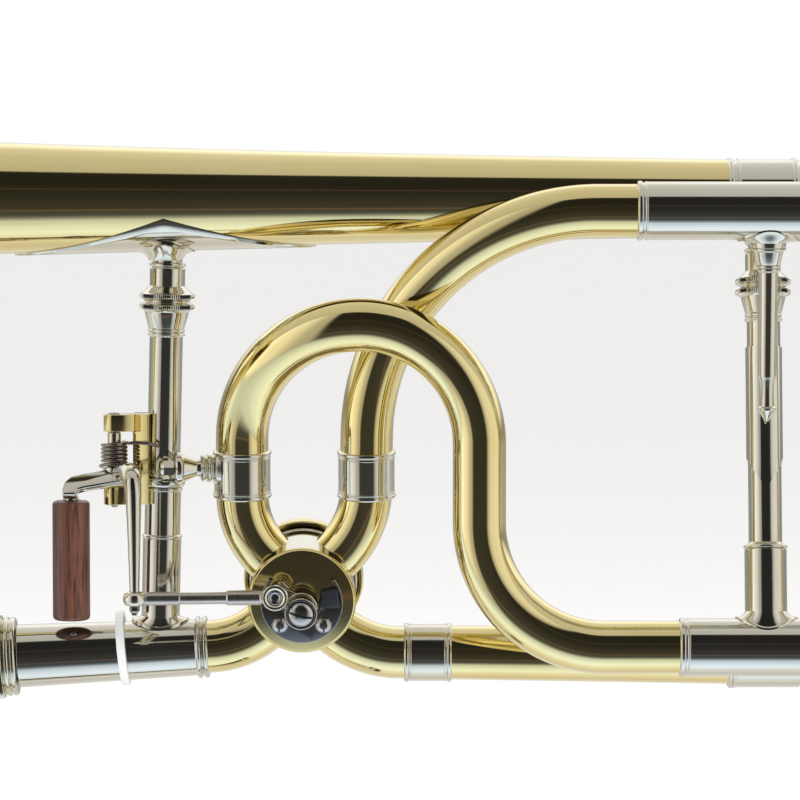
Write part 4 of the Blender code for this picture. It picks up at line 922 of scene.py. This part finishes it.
def make_main_tuning_slide():
    bow_start = high("tuning_leg_upper").x
    for side, radius, z in (("upper", 9.3, BELL_Z), ("lower", 8.0, GOOSENECK_Z)):
        profile = [(radius, bow_start + 1.0), (radius, bow_start - 3.0), (radius, 191.0),
                   (radius - 0.2, 190.0)]
        turned(f"main_slide_leg_{side}", DRAWN_NICKEL, (f"tuning_leg_{side}",), profile,
               Vector((0.0, 0.0, z)), REARWARD, bore=radius - 0.7)
        collar_r = radius + (1.25 if side == "upper" else 1.15)
        collar = [(r, bow_start - 2.0 + h) for r, h in ring_ferrule(collar_r, 12.0)]
        turned(f"main_slide_ferrule_{side}", TURNED_NICKEL, (), collar, Vector((0.0, 0.0, z)), REARWARD,
               bore=radius - 0.1, rides_with="tuning_bow")
    centre = (BELL_Z + GOOSENECK_Z) / 2.0
    bend = flat_path([(bow_start + 1.0, BELL_Z)]
                     + arc(bow_start + 1.5, centre, BELL_Z - centre, 90.0, -90.0, 64)
                     + [(bow_start + 1.0, GOOSENECK_Z)])
    swept("main_slide_bow", DRAWN_BRASS, ("tuning_bow",), bend, 10.3, 0.8, sides=80, end_radius=8.95)
    brace_between("main_slide_brace", ("tuning_bow_brace",), Vector((BOW_BRACE_X, 0.0, GOOSENECK_Z)),
                  Vector((BOW_BRACE_X, 0.0, BELL_Z)), REARWARD, 8.0, 9.3)


def brace_between(name, stands_for, first, second, host_axis, first_r, second_r):
    """A turned grip bar between two tubes, with a flared foot on each."""
    axis = (second - first).normalized()
    span = (second - first).length
    half = (span - first_r - second_r) / 2.0
    centre = first_r + half
    side = [(3.3, half - 1.6), *bead(3.4, half - 3.2, 1.0, 0.5), (3.3, half - 4.2),
            *bead(3.9, half - 6.0, 1.6, 0.9), (3.4, half - 7.4), (3.2, half - 8.6), (3.9, half * 0.35),
            (4.1, 0.0)]
    profile = [(r, centre + h) for r, h in side] + [(r, centre - h) for r, h in side[-2::-1]]
    turned(name, TURNED_NICKEL, stands_for, capped(profile), first, axis, sides=72, cut=0.2)
    foot(name + "_foot_0", TURNED_NICKEL, stands_for[0], first, host_axis, axis, first_r, 3.3, 6.4, 5.4, 2.4)
    foot(name + "_foot_1", TURNED_NICKEL, stands_for[0], second, host_axis, -axis, second_r, 3.3, 6.4, 5.4,
         2.4)


def make_f_tuning_slide():
    bow_x = 330.0
    centre = (F_UPPER_Z + F_LOWER_Z) / 2.0
    bend = flat_path([(bow_x - 2.0, F_UPPER_Z)] + arc(bow_x, centre, F_UPPER_Z - centre, 90.0, -90.0, 64)
                     + [(bow_x - 2.0, F_LOWER_Z)], F_PLANE_Y)
    swept("f_slide_crook", DRAWN_BRASS, ("f_slide_bow",), bend, F_TUBE_R, F_WALL, sides=80)
    for side, z in (("upper", F_UPPER_Z), ("lower", F_LOWER_Z)):
        leg = [(7.2, bow_x - 1.0), (7.2, 161.0), (7.0, 160.0)]
        turned(f"f_slide_leg_{side}", DRAWN_NICKEL, (), leg, Vector((0.0, F_PLANE_Y, z)), REARWARD, bore=6.6,
               rides_with="f_slide_bow")
        collar = [(r, bow_x - 12.0 + h) for r, h in ring_ferrule(8.3, 13.0)]
        turned(f"f_slide_ferrule_{side}", TURNED_NICKEL, (), collar, Vector((0.0, F_PLANE_Y, z)), REARWARD,
               bore=7.1, rides_with="f_slide_bow")


# ---------------------------------------------------------------- handslide

def make_inner_slide():
    player = on_slide(0.0, SLIDE_SPACING)
    end = [*bead(10.2, -66.4, 1.4, 0.5), (10.2, -67.4), (10.2, -108.0), *bead(10.2, -109.2, 1.4, 0.45),
           (10.3, -110.4), (10.5, -127.6), *bead(10.4, -128.8, 1.4, 0.5), (10.2, -130.0), (9.2, -130.0),
           (9.2, -112.0), (6.2, -112.0)]
    tenon = [(6.5, -5.0), (6.9, -6.0), (7.0, -64.5), (9.6, -64.8), (10.2, -65.4)]
    turned("bell_side_barrel_turned", DRAWN_NICKEL, ("bell_side_barrel",), tenon + end, Vector(), BACKWARD,
           bore=6.1)
    turned("player_side_barrel_turned", DRAWN_NICKEL, ("player_side_barrel",),
           [(9.4, -62.0), (10.2, -62.4)] + end, player, BACKWARD, bore=6.1)
    socket = [(8.0, -16.0), (8.9, -16.1), (8.9, -18.6), (8.3, -19.2), *bead(8.2, -20.4, 1.0, 0.4),
              (8.2, -58.0), *bead(8.2, -59.2, 1.2, 0.5), (8.2, -61.7)]
    turned("mouthpiece_socket", TURNED_NICKEL, ("mouthpiece_receiver",), socket, player, BACKWARD, bore=7.35)
    for side, base in (("bell_side", Vector()), ("player_side", player)):
        stocking = [(7.2, -112.3), (7.2, -610.0), (7.32, -612.0), (7.32, -711.0), (7.0, -712.0)]
        turned(f"chromed_inner_tube_{side}", SILVER_PLATE, (f"inner_slide_{side}",), stocking, base,
               BACKWARD, bore=6.7)
    brace_between("inner_slide_grip", ("inner_slide_brace",), on_slide(86.0), on_slide(86.0, SLIDE_SPACING),
                  BACKWARD, 10.2, 10.2)
    lock = [(11.4, -116.0), (12.1, -116.5), (12.1, -117.6), (11.7, -118.0), (12.2, -118.4), (12.2, -126.6),
            (11.7, -127.0), (12.1, -127.4), (12.1, -128.5), (11.4, -129.0)]
    turned("slide_lock_ring_knurled", TURNED_NICKEL, ("slide_lock_ring",), lock, player, BACKWARD, bore=11.0,
           count=96, knurls=[(-126.6, -118.4, 0.3)], cut=0.2)


def make_outer_slide():
    player = on_slide(0.0, SLIDE_SPACING)
    for side, base in (("bell_side", Vector()), ("player_side", player)):
        profile = [(8.2, -116.0), *bead(8.2, -117.2, 1.2, 0.35), (8.2, -118.2), (8.2, -CROOK_START + 1.0)]
        turned(f"outer_tube_{side}", DRAWN_BRASS, (f"outer_slide_{side}",), profile, base, BACKWARD,
               bore=7.7)
        for number, along in enumerate((140.0, 700.0)):
            collar = [(r, -along - 12.0 + h) for r, h in ring_ferrule(8.75, 20.0)]
            turned(f"outer_tube_{side}_collar_{number}", TURNED_NICKEL, (), collar, base, BACKWARD, bore=8.1,
                   rides_with=f"outer_slide_{side}")
    brace_between("outer_slide_grip", ("outer_slide_brace",), on_slide(152.0),
                  on_slide(152.0, SLIDE_SPACING), BACKWARD, 8.8, 8.8)
    half = SLIDE_SPACING / 2.0
    angles = [math.pi * i / 56.0 for i in range(57)]
    bend = [on_slide(CROOK_START + 1.0 + half * math.sin(a), half - half * math.cos(a)) for a in angles]
    bend = [on_slide(CROOK_START - 2.0)] + bend + [on_slide(CROOK_START - 2.0, SLIDE_SPACING)]
    swept("slide_end_crook", DRAWN_NICKEL, ("slide_crook",), bend, 8.4, 0.7, sides=72)
    tip = CROOK_START + 1.0 + half + 8.4
    cup = [(3.9, -tip + 1.0), (4.9, -tip + 0.2), (4.9, -tip - 2.8), (4.5, -tip - 3.2)]
    turned("crook_bumper_cup", TURNED_NICKEL, (), capped(cup), ACROSS * half, BACKWARD, sides=64,
           rides_with="slide_bumper")
    rubber = [(4.3, -tip - 2.9), (4.3, -tip - 6.4), (3.9, -tip - 7.8), (2.6, -tip - 8.4)]
    turned("crook_rubber_tip", RUBBER, ("slide_bumper",), capped(rubber), ACROSS * half, BACKWARD, sides=64)


def make_water_key():
    half = SLIDE_SPACING / 2.0
    centre = CROOK_START + half
    depth = -8.7
    seat = [(3.2, 3.2), (3.5, 2.9), (3.6, 0.6), (4.2, -0.4), (4.4, -1.2)]
    turned("water_key_nipple", TURNED_NICKEL, ("water_key_saddle",), capped(seat),
           on_slide(centre, half, depth), OUTWARD, sides=48)
    pad = [(3.3, 6.2), (3.9, 5.9), (3.9, 3.9), (3.5, 3.6)]
    turned("water_key_pad_cup", TURNED_NICKEL, ("water_key",), capped(pad), on_slide(centre, half, depth),
           OUTWARD, sides=48)
    pivot = centre - 11.0
    path = curve_through([on_slide(centre, half, depth - 4.9), on_slide(pivot + 4.0, half, depth - 5.6),
                          on_slide(pivot - 6.0, half, depth - 6.4),
                          on_slide(pivot - 26.0, half, depth - 6.6)])
    swept("water_key_lever", TURNED_NICKEL, (), path, 1.7, sides=32, rides_with="water_key")
    touch = [(3.2, 7.6), (4.3, 7.2), (4.6, 6.6), (4.2, 6.0)]
    turned("water_key_touch", TURNED_NICKEL, (), capped(touch), on_slide(pivot - 26.0, half, depth + 0.2),
           OUTWARD, sides=48, rides_with="water_key")
    barrel = [(1.5, 4.4), (1.9, 4.1), (1.9, -4.1), (1.5, -4.4)]
    turned("water_key_pivot_barrel", TURNED_NICKEL, (), capped(barrel), on_slide(pivot, half, depth - 4.4),
           ACROSS, sides=40, rides_with="water_key")
    for number, side in enumerate((-5.2, 5.2)):
        path = [on_slide(pivot, half + side, -5.6), on_slide(pivot, half + side, depth - 2.0),
                on_slide(pivot, half + side, depth - 5.2)]
        swept(f"water_key_post_{number}", TURNED_NICKEL, (), path, 1.1, sides=24, rides_with="slide_crook")


def make_mouthpiece():
    rim = [(14.3, 43.5), (15.3, 44.3), (16.6, 44.6), (18.0, 44.2), (19.0, 43.0), (19.35, 41.4), (19.0, 39.6)]
    shank = [(17.2, 37.2), (16.4, 34.6), (15.6, 31.0), (14.2, 25.0), (12.4, 18.0), (10.6, 12.4), (9.2, 8.6),
             (8.4, 5.6), *bead(7.9, 4.0, 1.4, 0.5), (7.6, 2.4), (7.2, 0.0), (6.95, -14.0), (6.15, -37.4),
             (5.9, -38.0)]
    bore = [(4.9, -38.0), (3.4, 2.0), (3.4, 6.0), (5.2, 12.0), (8.4, 17.0), (10.8, 23.0), (12.1, 30.0),
            (12.7, 37.0), (13.3, 42.0)]
    turned("mouthpiece_silver", SILVER_PLATE, ("mouthpiece",), rim + shank + bore[:-1],
           on_slide(0.0, SLIDE_SPACING), BACKWARD, sides=112, bore=bore[-1][0], cut=0.2)


# ---------------------------------------------------------------- floor, light and camera

def make_floor():
    """A pale matt sweep well below the instrument. Mirror rays pass it, so that the metal shows the
    studio's panels and not the floor's horizon."""
    made, tree, shader = new_material("painted_studio_floor", Roughness=0.9)
    shader.inputs["Base Color"].default_value = linear("#F4F4F5")
    shader.inputs["Emission Color"].default_value = linear("#FFFFFF")
    shader.inputs["Emission Strength"].default_value = 0.16
    rays = add(tree, "LightPath").outputs["Is Glossy Ray"]
    clear = add(tree, "BsdfTransparent")
    mix = add(tree, "MixShader", links={0: rays, 1: shader.outputs[0], 2: clear.outputs[0]})
    tree.links.new(mix.outputs[0], tree.nodes["Material Output"].inputs["Surface"])
    ground = (CAD_BOX[0].z / MM) - 60.0
    disc = bmesh.new()
    bmesh.ops.create_circle(disc, cap_ends=True, segments=96, radius=14.0)
    bmesh.ops.translate(disc, verts=disc.verts, vec=(0.0, 0.0, ground * MM))
    mesh = mesh_of("studio_floor", disc)
    mesh.materials.append(made)
    floor = bpy.data.objects.new("studio_floor", mesh)
    bpy.context.scene.collection.objects.link(floor)


def ramp(tree, source, stops):
    """A colour ramp over degrees from -180 to 180; each stop is (degrees, strength, tint)."""
    share = add(tree, "MapRange", {"From Min": -math.pi, "From Max": math.pi}, {"Value": source})
    made = add(tree, "ValToRGB", links={0: share.outputs[0]})
    made.color_ramp.interpolation = "EASE"
    elements = made.color_ramp.elements
    while len(elements) < len(stops):
        elements.new(0.5)
    for element, (degrees, strength, tint) in zip(elements, stops):
        element.position = (degrees + 180.0) / 360.0
        element.color = tuple(strength * part / STUDIO_PEAK for part in tint) + (1.0,)
    return made.outputs["Color"]


STUDIO_PEAK = 2.0
WARM, COOL, PLAIN = (1.0, 0.985, 0.95), (0.84, 0.98, 1.16), (1.0, 1.0, 1.0)
ROSE = (1.0, 0.72, 0.6)


def add_lamp(name, energy, width, place, aim):
    """A soft panel of light, in metres and watts, that polished metal doesn't mirror."""
    lamp = bpy.data.lights.new(name, "AREA")
    lamp.energy = energy
    lamp.size = width
    panel = bpy.data.objects.new(name, lamp)
    panel.location = place
    panel.rotation_euler = Vector(aim).to_track_quat("-Z", "Y").to_euler()
    panel.visible_glossy = False
    bpy.context.scene.collection.objects.link(panel)
    return lamp


def make_studio():
    """White panels all round with a dark gap in front: each tube then shows a dark band along its
    middle and pale bands beside it, as polished metal does inside a light tent."""
    world = bpy.data.worlds.new("light_tent")
    world.use_nodes = True
    bpy.context.scene.world = world
    tree = world.node_tree
    background = tree.nodes["Background"]
    way = add(tree, "SeparateXYZ", links={0: add(tree, "TexCoord").outputs["Generated"]})
    x, y, z = way.outputs
    front = add(tree, "Math", {1: -1.0}, {0: y}, operation="MULTIPLY").outputs[0]
    height = add(tree, "Math", links={0: z, 1: front}, operation="ARCTAN2").outputs[0]
    heading = add(tree, "Math", links={0: x, 1: front}, operation="ARCTAN2").outputs[0]
    above = ramp(tree, height, [
        (-180, 0.35, PLAIN), (-164, 0.6, PLAIN), (-150, 0.9, WARM), (-118, 0.8, WARM), (-95, 1.0, PLAIN),
        (-76, 1.35, COOL), (-64, 1.2, COOL), (-52, 0.95, COOL), (-40, 0.62, COOL), (45, 0.58, PLAIN),
        (60, 0.64, WARM), (92, 0.72, WARM), (120, 0.85, WARM), (146, 1.35, PLAIN), (162, 1.1, PLAIN),
        (180, 0.35, PLAIN)])
    beside = ramp(tree, heading, [
        (-180, 0.4, PLAIN), (-150, 1.4, PLAIN), (-108, 1.3, WARM), (-96, 0.5, WARM), (-84, 1.5, PLAIN),
        (-60, 1.1, WARM), (-36, 0.55, PLAIN), (-24, 0.45, PLAIN), (24, 0.45, PLAIN), (34, 0.55, WARM),
        (52, 0.95, WARM), (86, 1.05, WARM), (98, 0.6, WARM), (112, 1.35, WARM), (150, 1.5, PLAIN),
        (180, 0.4, PLAIN)])
    gap = ramp(tree, height, [
        (-60, 0.16, COOL), (-34, 0.095, COOL), (-27, 0.075, PLAIN), (-25, 0.2, ROSE), (-23, 0.06, PLAIN),
        (-12, 0.05, PLAIN), (10, 0.03, PLAIN), (19, 0.028, PLAIN), (21, 0.085, ROSE), (23, 0.026, PLAIN),
        (40, 0.022, PLAIN), (60, 0.025, PLAIN)])
    masks = []
    for angle, start, end in ((height, -50.0, -34.0), (height, 61.0, 57.0), (heading, -34.0, -26.0),
                              (heading, 38.0, 29.0)):
        masks.append(add(tree, "MapRange", {"From Min": math.radians(start), "From Max": math.radians(end)},
                         {"Value": angle}, interpolation_type="SMOOTHSTEP").outputs[0])
    level = add(tree, "Math", links={0: masks[0], 1: masks[1]}, operation="MULTIPLY").outputs[0]
    facing = add(tree, "Math", links={0: masks[2], 1: masks[3]}, operation="MULTIPLY").outputs[0]
    sides = add(tree, "Mix", links={0: facing, 6: beside, 7: gap}, data_type="RGBA").outputs[2]
    tent = add(tree, "Mix", links={0: level, 6: above, 7: sides}, data_type="RGBA").outputs[2]
    seen = add(tree, "LightPath").outputs["Is Camera Ray"]
    shown = add(tree, "Mix", {7: (0.5, 0.5, 0.5, 1.0)}, {0: seen, 6: tent}, data_type="RGBA")
    tree.links.new(shown.outputs[2], background.inputs["Color"])
    background.inputs["Strength"].default_value = STUDIO_PEAK
    softbox = add_lamp("overhead_softbox", 9.0, 1.6, (0.1, 0.5, 1.3), (0.0, -0.5, -1.3))
    softbox.shape = "RECTANGLE"
    softbox.size_y = 0.9
    add_lamp("front_fill", 36.0, 1.6, (0.7, -2.8, 1.2), (-0.7, 2.8, -1.1))


def make_camera():
    """Square to the valve's side and a little above it, with a long lens."""
    elevation = math.radians(4.0)
    target = Vector((68.4, 0.0, 73.2))
    away = Vector((0.0, -math.cos(elevation), math.sin(elevation)))
    data = bpy.data.cameras.new("camera")
    data.lens = 200.0
    data.sensor_width = 36.0
    data.clip_start, data.clip_end = 0.05, 60.0
    camera = bpy.data.objects.new("camera", data)
    camera.location = (target + away * 1300.0) * MM
    camera.rotation_mode = "QUATERNION"
    camera.rotation_quaternion = (-away).to_track_quat("-Z", "Y")
    bpy.context.scene.collection.objects.link(camera)
    bpy.context.scene.camera = camera


make_camera()
make_studio()
make_floor()
make_bell()
make_bell_flange()
make_tuning_sleeves()
make_bell_brace()
make_receiver()
make_lock_nut()
make_valve_body()
make_stops()
make_rotor()
make_valve_tubes()
make_f_risers()
make_f_wrap()
make_wrap_strut()
make_rear_brace()
make_trigger_hinge()
make_trigger_spring()
make_trigger()
make_link()
make_main_tuning_slide()
make_f_tuning_slide()
make_inner_slide()
make_outer_slide()
make_water_key()
make_mouthpiece()
bpy.context.scene.view_settings.view_transform = "Standard"

bpy.context.view_layer.update()
